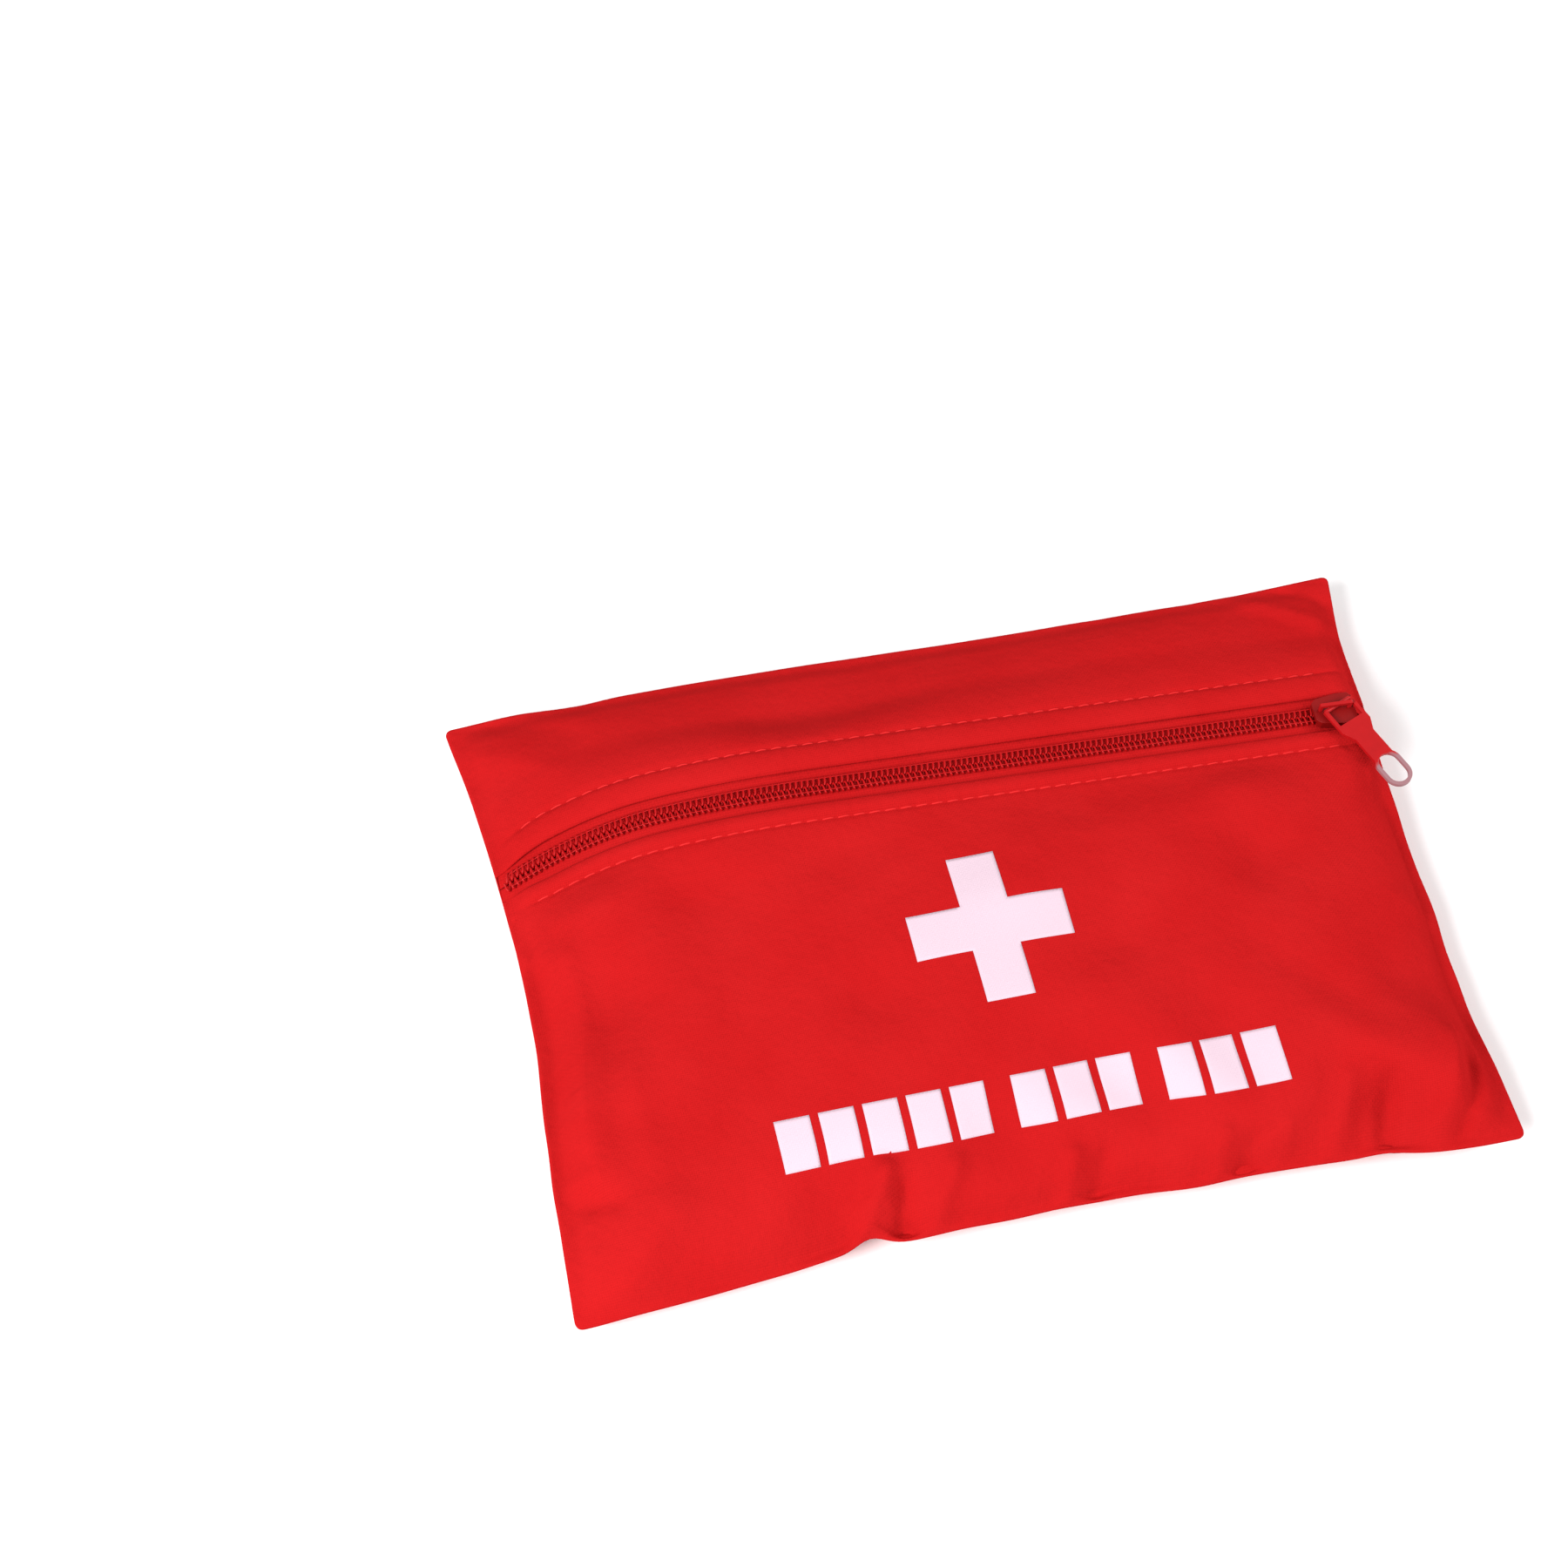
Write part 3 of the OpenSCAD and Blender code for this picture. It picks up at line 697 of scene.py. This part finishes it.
# the slider body's enamel is darker than the tab's: painted shade for the shade the slider sits in
SLIDER_SHADED_ENAMEL = enamel("red_enamel_painted_shade", (0.24, 0.004, 0.004), RING_METAL_AND_HIGHLIGHT, EYE, 0.001)


def thread_material(name, base, light):
    n = Nodes(name)
    strands = n.noise(n.flat(), 2.2, 2.0)
    colour = n.mix_colour(strands, base, light)
    twist = n.bump(strands, 0.00004, 0.5)
    return n.set(Base_Color=colour, Roughness=0.6, Normal=twist, Specular_IOR_Level=0.08)


def monofilament():
    n = Nodes("red_coil")
    where = n.place()
    colour = n.mix_colour(n.noise(where, 400.0, 2.0), COIL_RED, tuple(1.3 * c for c in COIL_RED))
    grain = n.bump(n.noise(where, 2500.0, 2.0), 0.00002, 0.2)
    return n.set(Base_Color=colour, Roughness=0.42, Normal=grain, Specular_IOR_Level=0.18)


def print_ink():
    """Screen print: matt ink that follows the weave below it."""
    n = Nodes("white_ink")
    where = n.flat()
    weave = n.bump(weave_height(n, where, WEAVE), 0.00004, 0.5)
    thin = n.ramp(n.noise(where, 0.9, 4.0), (0.60, (0, 0, 0)), (0.95, (0.5, 0.5, 0.5)))
    colour = n.mix_colour(thin, WHITE, (0.70, 0.50, 0.53))
    return n.set(Base_Color=colour, Roughness=0.5, Normal=weave, Specular_IOR_Level=0.15)


THREAD = thread_material("red_thread", RED_LIGHT, (0.62, 0.022, 0.022))
COIL = monofilament()
INK = print_ink()


# ---- the pouch's pieces
def spaced(length, step, start=True):
    """Distances from 0 to length, closer together at the end and, if it is turned, the start."""
    fine = np.array([0, 0.1, 0.25, 0.45, 0.7, 1.0, 1.35, 1.8, 2.4, 3.2])
    lo = fine if start else np.array([0.0])
    hi = length - fine[::-1]
    middle = np.linspace(lo[-1], hi[0], max(2, int(round((hi[0] - lo[-1]) / step)) + 1))[1:-1]
    return np.concatenate([lo, middle, hi])


STEP = 1.15  # between rows and columns of the front's cloth
COLUMNS = spaced(2 * HALF_W, STEP) / HALF_W - 1
SHEET_T = 0.35
FOLD_R = 0.45
TURN_UNDER = (7.0, 5.0, 3.2, 1.8, 0.9, FOLD_R)  # rows of the turned-under layer
# rows of the outer layer, closer together at the fold and at the topstitch
HEM_ROWS = np.array([0.45, 0.8, 1.2, 1.7, 2.2, 2.8, 3.4, 3.8, 4.1, 4.5, 5.0, 5.5, 5.9, 6.2, 6.6, 7.2, 8.0])


def cloth_sheet(ys, side):
    """Plan points and surface points of rows of cloth; ys is (rows, columns)."""
    x = COLUMNS[None] * side_x(ys)
    return np.stack([x, ys], -1), cloth(x, ys, side)


def hem_rows(edge, toward, lift):
    """The folded hem at y = edge: the turned-under layer, then the round fold."""
    turn = [(d, -90) for d in TURN_UNDER]
    turn += [(FOLD_R * (1 - math.cos(math.radians(a))), a) for a in (-60, -30, 0, 30, 60)]
    rows, plans = [], []
    for d, a in turn:
        y = edge + toward * d
        x = COLUMNS * side_x(y)
        r = FOLD_R * turned(side_x(y) - np.abs(x))
        top = cloth(x, y if a < 0 else edge + 0 * y, 0)
        z = top[..., 2] - hem_relief(x, y) * (a < 0) + lift - r * (1 - math.sin(math.radians(a)))
        rows.append(np.stack([top[..., 0], top[..., 1] + (0 if a < 0 else y - edge), z], -1))
        plans.append(np.stack([x, y], -1))
    return np.array(plans), np.array(rows)


def panel_with_hem(name, toward, rim, lift, node, weight):
    """A front piece from its folded hem by the zip to the sewn rim."""
    at = COLUMNS * side_x(SLIDER[1])
    edge = zip_y(at) + toward * hem_gap(at)
    length = np.abs(rim - edge)
    usual = float(np.median(length))
    share, near = spaced(usual, STEP, start=False) / usual, HEM_ROWS / usual
    share = np.unique(np.concatenate([near, share[share > near[-1] + 0.01]]))
    ys = edge[None] + share[:, None] * (rim - edge)[None]
    ys[-1] = rim
    plan, points = cloth_sheet(ys, 0)
    off = toward * (ys - edge)
    points[..., 2] += lift * (1 - smooth((off - 0.75 * length) / (0.25 * length)))
    # the turned-under layer and the round fold come first, then the outer layer
    hem_plan, hem = hem_rows(edge, toward, lift)
    plan = np.concatenate([hem_plan, plan])
    points = np.concatenate([hem, points])
    if toward < 0:
        plan, points = plan[::-1], points[::-1]
    ob = make(name, points, grid_faces(*points.shape[:2]), CLOTH, np.insert(plan, 2, 0, -1))
    thicken(ob, SHEET_T)
    stands_for(ob, node, weight, plan)
    return ob


BOTTOM = bottom_y(COLUMNS * HALF_W)
TOP = HALF_H + 0 * BOTTOM
front = panel_with_hem("pouch_front", -1, BOTTOM, 0.0, "front_panel", lower_weight)
strip = panel_with_hem("pouch_strip", 1, TOP, LIP_LIFT, "upper_strip", upper_weight)


def make_back():
    share = (spaced(2 * HALF_H, 1.5) / HALF_H - 1)[:, None]
    ys = np.where(share > 0, share * HALF_H, -share * BOTTOM)
    plan, points = cloth_sheet(ys, 1)
    faces = grid_faces(*points.shape[:2])[:, ::-1]
    ob = make("pouch_back", points, faces, BACK_CLOTH, np.insert(plan, 2, 0, -1))
    thicken(ob, SHEET_T)
    stands_for(ob, "back_panel")
    return ob


back = make_back()


def parting(x):
    """0 where the slider has closed the zip, and 1 right of the slider, where it has not."""
    return smooth((x - SLIDER[0] + 1) / 2.4)


def make_tape(name, node, sign, weight):
    """One zip tape: a flat woven band under the coil. Both close again at the right seam."""
    end = float(side_x(SLIDER[1])) - 0.5
    x = np.linspace(-end, end, 150)
    off = np.array([0.15, 0.5, 1.2, 2.2, 3.0, 4.0, 5.5, 7.2, 8.7])[:, None]
    rise = np.array([0, 0.02, 0, 0, -0.03, 0, 0, 0, 0])[:, None]
    part = 0.7 * parting(x) * (1 - smooth((x - 92) / 3.5))
    y = zip_y(x) + sign * (off + part)
    z = zip_z(x) + rise
    points = np.stack([np.broadcast_to(x, y.shape), y, z], -1)
    faces = grid_faces(*y.shape)[:, ::sign]
    ob = make(name, points, faces, TAPE, points * [1, 1, 0])
    thicken(ob, 0.38)
    stands_for(ob, node, weight, points)
    return ob


def make_coil(name, node, sign, weight):
    """One side of the zip: a flattened helix that leans with the slope, sewn down by a thread."""
    pitch, wire, wire_sides, steps = 1.25, 0.21, 6, 14  # steps to each turn
    thread, thread_sides = 0.13, 5
    start, end = -94.6, 91.0
    fine = np.linspace(start, end, 4000)
    rise = np.gradient(zip_z(fine), fine)
    arc = distances(np.hypot(np.diff(fine), np.diff(zip_z(fine))))
    loops = int(arc[-1] / pitch)
    turn = np.arange(loops * steps + 1) / steps
    angle = math.tau * turn
    x = np.interp((turn + (0.5 if sign > 0 else 0.0)) * pitch, arc, fine)
    lean = np.interp(x, fine, rise / np.hypot(1, rise))
    c, s = np.cos(angle), np.sin(angle)
    across = 0.92 + 1.0 * -np.sign(c) * np.abs(c) ** 0.75
    height = 0.68 + 0.42 * np.sign(s) * np.abs(s) ** 0.7
    y = zip_y(x) + sign * (across + 0.75 * parting(x))
    path = np.stack([x - height * lean, y, zip_z(x) + height * np.sqrt(1 - lean**2)], -1)[None]
    points, faces = tubes(path, wire, wire_sides)
    plan = np.repeat(np.stack([x, y], -1), wire_sides, 0)
    sew_x = np.linspace(start + 1, end, loops * 4)
    sew_y = zip_y(sew_x) + sign * (1.45 + 0.75 * parting(sew_x))
    sew_z = zip_z(sew_x) + 1.18 + 0.12 * np.cos(math.tau * (sew_x - start) / pitch)
    sew, sew_faces = tubes(np.stack([sew_x, sew_y, sew_z], -1)[None], thread, thread_sides)
    sew_plan = np.repeat(np.stack([sew_x, sew_y], -1), thread_sides, 0)
    faces = list(faces) + [[i + len(points) for i in f] for f in sew_faces]
    ob = make(name, np.concatenate([points, sew]), faces, COIL)
    stands_for(ob, node, weight, np.concatenate([plan, sew_plan]))
    return ob


def make_stitches(name, node, sign, weight):
    """A row of stitches: thread that comes up, lies on the cloth and goes down again."""
    thread, sides = 0.18, 8
    stitch, lift = (UPPER_STITCH, LIP_LIFT) if sign > 0 else (LOWER_STITCH, 0.0)
    centres = np.arange(-88, 86.01, STITCH_PITCH)
    t = np.array([-1.35, -1.2, -0.95, -0.5, 0, 0.5, 0.95, 1.2, 1.35])
    dip = np.array([-0.35, -0.15, 0.02, 0.10, 0.12, 0.10, 0.02, -0.15, -0.35])
    x = centres[:, None] + t
    y = zip_y(x) + sign * (hem_gap(x) + stitch)
    points = cloth(x, y, 0, dip) + [0, 0, lift]
    tube, faces = tubes(points, thread, sides)
    flat = np.repeat(np.stack([x, y, 0 * x], -1).reshape(-1, 3), sides, 0)
    ob = make(name, tube, faces, THREAD, flat)
    stands_for(ob, node, weight, flat)
    return ob


on_front, on_strip = [], []
for builder, name, node in (
    (make_tape, "zip_tape", "zip_tape"), (make_coil, "zip_coil", "coil"),
    (make_stitches, "stitches", "topstitch"),
):
    on_front.append(builder(name + "_lower", "lower_" + node, -1, lower_weight))
    on_strip.append(builder(name + "_upper", "upper_" + node, 1, upper_weight))


# ---- the print
ARM_HALF = 5.1  # half the width of the cross's arms
GROUPS, BLOCK_GAP, GROUP_GAP = (5, 3, 3), 1.8, 5.6
PRINT_LIFT, INK_T = 0.10, 0.07


def cells(*edges):
    """Grid lines about 0.8 mm apart that pass through each given edge."""
    parts = [np.linspace(a, b, max(2, int((b - a) / 0.8) + 2))[:-1] for a, b in zip(edges, edges[1:])]
    return np.concatenate(parts + [edges[-1:]])


def patches(name, xs, ys, inked, node):
    """Thin ink on the front: the cells of a plan grid whose middle is inked(x, y)."""
    x, y = np.meshgrid(xs, ys)
    faces = grid_faces(*x.shape)
    faces = faces[inked(*(g.ravel()[faces].mean(1) for g in (x, y)))]
    used, faces = np.unique(faces, return_inverse=True)
    faces = faces.reshape(-1, 4)
    x, y = x.ravel()[used], y.ravel()[used]
    points = cloth(x, y, 0, PRINT_LIFT)
    ob = make(name, points, faces, INK, np.stack([x, y, 0 * x], -1))
    thicken(ob, INK_T)
    stands_for(ob, node)
    on_front.append(ob)


def make_print():
    lo, hi = box_of("printed_cross")
    x, y = (lo[:2] + hi[:2]) / 2
    a, b = ARM_HALF, (hi[0] - lo[0]) / 2
    patches("print_cross", cells(x - b, x - a, x + a, x + b), cells(y - b, y - a, y + a, y + b),
            lambda px, py: (np.abs(px - x) < a) | (np.abs(py - y) < a), "printed_cross")
    gaps = sum(GROUPS) - len(GROUPS)
    lo, hi = box_of("printed_blocks")
    width = (hi[0] - lo[0] - gaps * BLOCK_GAP - (len(GROUPS) - 1) * GROUP_GAP) / sum(GROUPS)
    at, boxes = lo[0], []
    for group in GROUPS:
        for _ in range(group):
            boxes += [at, at + width]
            at += width + BLOCK_GAP
        at += GROUP_GAP - BLOCK_GAP
    patches("print_blocks", cells(*boxes), cells(lo[1], hi[1]),
            lambda px, py: np.searchsorted(boxes, px) % 2 == 1, "printed_blocks")


make_print()


# ---- slider and pull tab
def dress(node, material, bevel, swell=0.0):
    """A CAD node kept as it is, with softened edges and a material; swell parts two flush faces."""
    ob = frame["nodes"][node]
    ob.data.materials.clear()
    ob.data.materials.append(material)
    ob.modifiers.new("Weld", "WELD").merge_threshold = 1e-6
    m = ob.modifiers.new("Bevel", "BEVEL")
    m.width, m.segments = bevel * MM, 3
    m.limit_method, m.angle_limit = "ANGLE", math.radians(30)
    if swell:
        m = ob.modifiers.new("Swell", "DISPLACE")
        m.strength, m.mid_level = swell * MM, 0.0


dress("slider_body", SLIDER_SHADED_ENAMEL, 0.22)
dress("slider_bridge", ENAMEL, 0.18)
dress("pull_tab", ENAMEL, 0.22)


# ---- what the pouch holds
PALE = (1, 1, 1, 1)
CREPE = woven("crepe", (0.62, 0.57, 0.47), (0.68, 0.63, 0.54), 0.9, 0.8, 0.3, PALE)
COTTON_TAPE = woven("cotton_tape", (0.66, 0.65, 0.62), (0.71, 0.70, 0.67), 0.5, 0.75, 0.2, PALE)
CALICO = woven("calico", (0.60, 0.57, 0.49), (0.67, 0.64, 0.56), 0.5, 0.8, 0.2, PALE)


def plain(name, base, other, scale, roughness, relief, metallic=0.0, stretch=(1, 1, 1)):
    """One stuff with its own grain: mottled colour, uneven gloss and fine relief."""
    n = Nodes(name)
    mapping = n.node("ShaderNodeMapping")
    n.put(mapping.inputs["Vector"], n.place())
    n.put(mapping.inputs["Scale"], stretch)
    where = mapping.outputs["Vector"]
    grain = n.noise(where, scale, 4.0)
    rough = n.add(roughness - 0.08, n.mul(grain, 0.16))
    return n.set(Base_Color=n.mix_colour(grain, base, other), Roughness=rough, Metallic=metallic,
                 Normal=n.bump(grain, relief, 0.6))


STEEL = plain("brushed_steel", (0.52, 0.53, 0.55), (0.66, 0.67, 0.69), 500.0, 0.32, 0.00002, 1.0,
              (0.06, 1, 1))
BLACK = plain("black_plastic", (0.015, 0.015, 0.017), (0.024, 0.024, 0.026), 1500.0, 0.45, 0.00004)
WHITE_PLASTIC = plain("white_plastic", (0.62, 0.62, 0.62), (0.68, 0.68, 0.67), 600.0, 0.4, 0.00002)
CARD = plain("card_core", (0.50, 0.42, 0.32), (0.60, 0.52, 0.41), 500.0, 0.85, 0.00006)
COTTON = plain("cotton_wool", (0.66, 0.65, 0.62), (0.74, 0.73, 0.71), 1400.0, 0.95, 0.0003)
FOIL = plain("foil_film", (0.70, 0.71, 0.73), (0.80, 0.81, 0.82), 260.0, 0.22, 0.0009, 1.0)


def sachet_material(name, wrap, inner, half_u, half_v, pad=None):
    """A sealed sachet in its own coordinates: crimped margins round a printed or clear middle."""
    n = Nodes(name)
    along = n.xyz(n.flat())
    u, v = (n.math("ABSOLUTE", along[k]) for k in (0, 1))

    def inside(a, b):
        return n.mul(n.math("LESS_THAN", u, a), n.math("LESS_THAN", v, b))

    fibres = n.noise(n.place(), 900.0, 5.0)
    colour = n.mix_colour(inside(half_u, half_v), wrap, inner)
    if pad:
        colour = n.mix_colour(inside(half_u, 0.3), colour, pad)
    tone = n.ramp(fibres, (0.3, (0.88, 0.88, 0.88)), (0.7, (1.0, 1.0, 1.0)))
    crimp = n.math("SINE", n.mul(along[1], 150.0))
    crimp = n.mul(crimp, n.math("GREATER_THAN", n.math("MAXIMUM", u, v), 0.88))
    relief = n.bump(n.add(fibres, crimp), 0.00012, 0.7)
    return n.set(Base_Color=n.mix_colour(1.0, colour, tone, "MULTIPLY"), Roughness=0.55, Normal=relief)


PAPER = sachet_material("gauze_paper", (0.66, 0.66, 0.64), (0.60, 0.64, 0.68), 0.8, 0.55)
PLASTER = sachet_material("plaster_wrap", (0.66, 0.65, 0.62), (0.52, 0.33, 0.20), 0.72, 0.84,
                          (0.60, 0.44, 0.32))
WIPE = sachet_material("wipe_foil", (0.62, 0.65, 0.68), (0.09, 0.22, 0.45), 0.84, 0.6)


def rolled(name, node, axis, inner, turns, steps, material, relief):
    """A strip of cloth wound on itself as a spiral about the given axis of the node's box."""
    lo, hi = box_of(node)
    centre = (lo + hi) / 2
    a_axis, b_axis = [k for k in range(3) if k != axis]
    pitch = ((hi - lo)[a_axis] / 2 - inner) / turns
    angle = np.linspace(0, math.tau * turns, turns * steps + 1)
    radius = inner + pitch * (angle / math.tau - 0.05)
    arc = distances(radius[:-1] * np.diff(angle))
    t = np.array([0, 0.01, 0.04, 0.1, 0.2, 0.35, 0.5, 0.65, 0.8, 0.9, 0.96, 0.99, 1.0])
    ring = radius[:, None] - relief * (0.5 + 0.5 * np.sin(angle * 5.3)[:, None] * np.sin(17 * t)[None])
    points = np.zeros(ring.shape + (3,))
    points[..., a_axis] = centre[a_axis] + ring * np.cos(angle)[:, None]
    points[..., b_axis] = centre[b_axis] + ring * np.sin(angle)[:, None]
    slip = relief * (1 + np.sin(angle * 0.61 + 1))[:, None]
    width = (hi - lo)[axis]
    points[..., axis] = lo[axis] + slip + t[None] * (width - 2 * relief - slip)
    flat = np.stack(np.broadcast_arrays(arc[:, None], t[None] * width, 0.0), -1)
    ob = make(name, points, grid_faces(*ring.shape)[:, ::-1], material, flat)
    thicken(ob, 0.72 * pitch)
    stands_for(ob, node)


def folded(name, node, layers, thickness, material, crumple, seed):
    """A sheet folded back and forth along y, layer on layer."""
    lo, hi = box_of(node)
    rng = np.random.RandomState(seed)
    gap = (hi[2] - lo[2] - thickness - 2 * crumple) / (layers - 1)
    path = []
    for k in range(layers):
        z = lo[2] + crumple + thickness / 2 + k * gap
        near, far = lo[1] + gap + rng.rand() * 1.2, hi[1] - gap - rng.rand() * 1.2
        start, end = (near, far) if k % 2 == 0 else (far, near)
        path += [(start + (end - start) * t, z) for t in np.linspace(0, 1, 25)]
        if k < layers - 1:
            side = np.sign(end - start)
            turn = np.radians([-60, -30, 0, 30, 60])
            path += [(end + side * gap / 2 * math.cos(a), z + gap / 2 * (1 + math.sin(a))) for a in turn]
    path = np.array(path)
    t = np.linspace(0, 1, 41)
    rows, width = len(path), hi[0] - lo[0]
    knots = np.linspace(0, rows - 1, layers + 1)
    slip = clamp01(0.6 + 0.5 * np.interp(np.arange(rows), knots, rng.randn(layers + 1)))
    x = lo[0] + 0.6 + t * (width - 1.2) + 0.5 * slip[:, None] * (1 - 2 * t)
    y = np.repeat(path[:, :1], len(t), 1)
    waves = enumerate((3.1, 5.7, 9.0))
    bumps = sum(np.sin(x / w + i) * np.sin(y / (w + 1.3) + 2 * i) for i, w in waves) / 3
    z = path[:, 1:] + crumple * bumps
    points = np.stack([x, y, z], -1)
    arc = distances(np.hypot(*np.diff(path, axis=0).T))
    flat = np.stack(np.broadcast_arrays(t * width, arc[:, None], 0.0), -1)
    ob = make(name, points, grid_faces(rows, len(t)), material, flat)
    thicken(ob, thickness, 0)
    stands_for(ob, node)


def shell(shape):
    """Faces of a closed shell between two grids of points, the top one and then the bottom one."""
    ids = np.arange(math.prod(shape)).reshape(shape)
    rim = np.concatenate([ids[0, :-1], ids[:-1, -1], ids[-1, :0:-1], ids[:0:-1, 0]])
    after = np.roll(rim, -1)
    side = np.stack([after, rim, rim + ids.size, after + ids.size], -1)
    return np.concatenate([quads(ids), quads(ids + ids.size)[:, ::-1], side])


def sachets(name, node, count, size, spread, material, seed, margin=0.16):
    """A stack of sealed sachets that have slipped a little against each other."""
    lo, hi = box_of(node)
    rng = np.random.RandomState(seed)
    thick = (hi[2] - lo[2]) / count
    half_s = np.array([0, 0.12, 0.3, 0.5, 0.64, 0.72, 0.78, 0.84, 0.9, 0.96, 1.0])
    s = np.concatenate([-half_s[:0:-1], half_s])
    u, v = np.meshgrid(s, s)
    rise = math.prod(smooth((1 - margin / 2 - np.abs(t)) / (1.6 * margin)) for t in (u, v))
    points, faces, flats = [], [], []
    for k in range(count):
        share = (k / max(1, count - 1)) * 2 - 1
        centre = (lo[:2] + hi[:2]) / 2 + share * np.array(spread)
        turn = math.radians(rng.uniform(-1.2, 1.2))
        x, y = u * size[0] / 2, v * size[1] / 2
        px = centre[0] + x * math.cos(turn) - y * math.sin(turn)
        py = centre[1] + x * math.sin(turn) + y * math.cos(turn)
        z = lo[2] + (k + 0.5) * thick
        soft = 0.06 * np.sin(3 * u + k) * np.sin(4 * v + 2 * k)
        half = 0.07 + (thick / 2 - 0.14) * rise + soft * rise
        sag = (0.5 * thick - 0.12) * (1 - rise) * np.sin(2.5 * u + 1.7 * k) * np.cos(2.1 * v + k)
        top, bottom = (np.stack([px, py, z + sag + way * half], -1) for way in (1, -1))
        faces.append(shell(u.shape) + 2 * k * u.size)
        points += [top.reshape(-1, 3), bottom.reshape(-1, 3)]
        flats += [np.stack([u, v, u * 0 + k], -1).reshape(-1, 3)] * 2
    ob = make(name, np.concatenate(points), np.concatenate(faces), material, np.concatenate(flats))
    rounded_off(ob)
    stands_for(ob, node)


def make_swab_tips():
    """Cotton buds at both ends of each stick, wound and a little ragged."""
    lo, hi = box_of("swab_tips")
    r = 2.2
    places = [(lo[1] + r, lo[2] + r), (hi[1] - r, lo[2] + r), ((lo[1] + hi[1]) / 2, hi[2] - r)]
    along = np.array([0, 0.15, 0.6, 1.2, 1.9, 2.6, 3.3, 3.9, 4.4, 4.75, 4.95])
    width = np.array([1.15, 1.45, 1.75, 2.0, 2.12, 2.12, 2.05, 1.85, 1.45, 0.9, 0.2])
    angle = math.tau * np.arange(26) / 26
    rng = np.random.RandomState(5)
    points, faces = [], []
    for y, z in places:
        for end, way in ((lo[0] + 5, -1), (hi[0] - 5, 1)):
            ragged = width[:, None] * (1 + 0.035 * np.sin(2 * angle[None] + 1.9 * along[:, None] * way))
            ragged = np.minimum(ragged + 0.035 * rng.randn(*ragged.shape), r - 0.02)
            x = end + way * along[:, None] + 0 * ragged
            ring = np.stack([x, y + ragged * np.cos(angle), z + ragged * np.sin(angle)], -1)
            start = len(points) * ragged.size
            faces += grid_faces(len(along), len(angle), True, start)[:, ::way].tolist()
            last = list(range(start + ragged.size))[-len(angle):]
            faces.append(last[::way])
            points.append(ring.reshape(-1, 3))
    ob = make("cotton_tips", np.concatenate(points), faces, COTTON)
    rounded_off(ob)
    stands_for(ob, "swab_tips")


for which in "12":
    rolled("crepe_roll_" + which, "bandage_roll_" + which, 0, 1.2, 14, 30, CREPE, 0.16)
rolled("tape_roll", "tape_winding", 2, 12.7, 11, 72, COTTON_TAPE, 0.05)
folded("calico_bandage", "triangular_bandage", 6, 0.5, CALICO, 0.1, 11)
folded("foil_sheet", "foil_blanket", 7, 0.12, FOIL, 0.14, 12)
sachets("gauze_sachets", "gauze_pads", 3, (47.5, 49.5), (0.7, -0.7), PAPER, 21, 0.12)
sachets("wipe_sachets", "alcohol_wipes", 5, (25, 33.5), (-0.5, 0.6), WIPE, 22, 0.16)
sachets("plaster_sachets", "adhesive_plasters", 3, (18.5, 55.5), (1.5, 0.4), PLASTER, 23, 0.12)
make_swab_tips()
dress("tape_core", CARD, 0.15)
dress("swab_sticks", WHITE_PLASTIC, 0.1)
dress("scissors_rivet", STEEL, 0.15)
for which in "12":
    dress("scissors_blade_" + which, STEEL, 0.12)
    dress("scissors_handle_" + which, BLACK, 0.45, 0.06)
    dress("tweezers_arm_" + which, STEEL, 0.2)


# ---- stage, lights, camera
FLOOR_HALF = 2000
WORLD_STRENGTH = 0.46
CAMERA_PLACE, CAMERA_AIM, CAMERA_ROLL = (-0.1618, -0.3276, 0.6887), (-0.0312, 0.0422, 0.007), 6.95


def make_stage():
    n = Nodes("paper")
    tone = n.mix_colour(n.noise(n.place(), 8.0), (0.93, 0.93, 0.93), (0.95, 0.95, 0.95))
    corners = [(i * FLOOR_HALF, j * FLOOR_HALF, 0) for i, j in ((-1, -1), (1, -1), (1, 1), (-1, 1))]
    make("floor", corners, [(0, 1, 2, 3)], n.set(Base_Color=tone, Roughness=0.85))
    world = bpy.data.worlds.new("studio")
    world.use_nodes = True
    background = world.node_tree.nodes["Background"]
    background.inputs["Color"].default_value = (1, 1, 1, 1)
    background.inputs["Strength"].default_value = WORLD_STRENGTH
    bpy.context.scene.world = world


def area_light(name, place, size, power):
    data = bpy.data.lights.new(name, "AREA")
    data.shape, data.size, data.energy = "DISK", size, power
    ob = added(name, data)
    ob.location = place
    ob.rotation_euler = (-Vector(place)).to_track_quat("-Z", "Y").to_euler()


def make_camera():
    cam = bpy.data.cameras.new("camera")
    cam.lens, cam.sensor_width, cam.clip_start, cam.clip_end = 84.0, 36.0, 0.01, 20.0
    ob = added("camera", cam)
    ob.location = CAMERA_PLACE
    aim = Vector(CAMERA_AIM) - ob.location
    roll = Matrix.Rotation(math.radians(CAMERA_ROLL), 3, "Z")
    ob.rotation_euler = (aim.to_track_quat("-Z", "Y").to_matrix() @ roll).to_euler()
    bpy.context.scene.camera = ob


make_stage()
area_light("key", (-0.76, -0.44, 0.80), 0.62, 19.0)
area_light("fill", (0.85, -0.10, 0.66), 0.8, 8.0)
make_camera()
bpy.context.scene.view_settings.view_transform = "Standard"
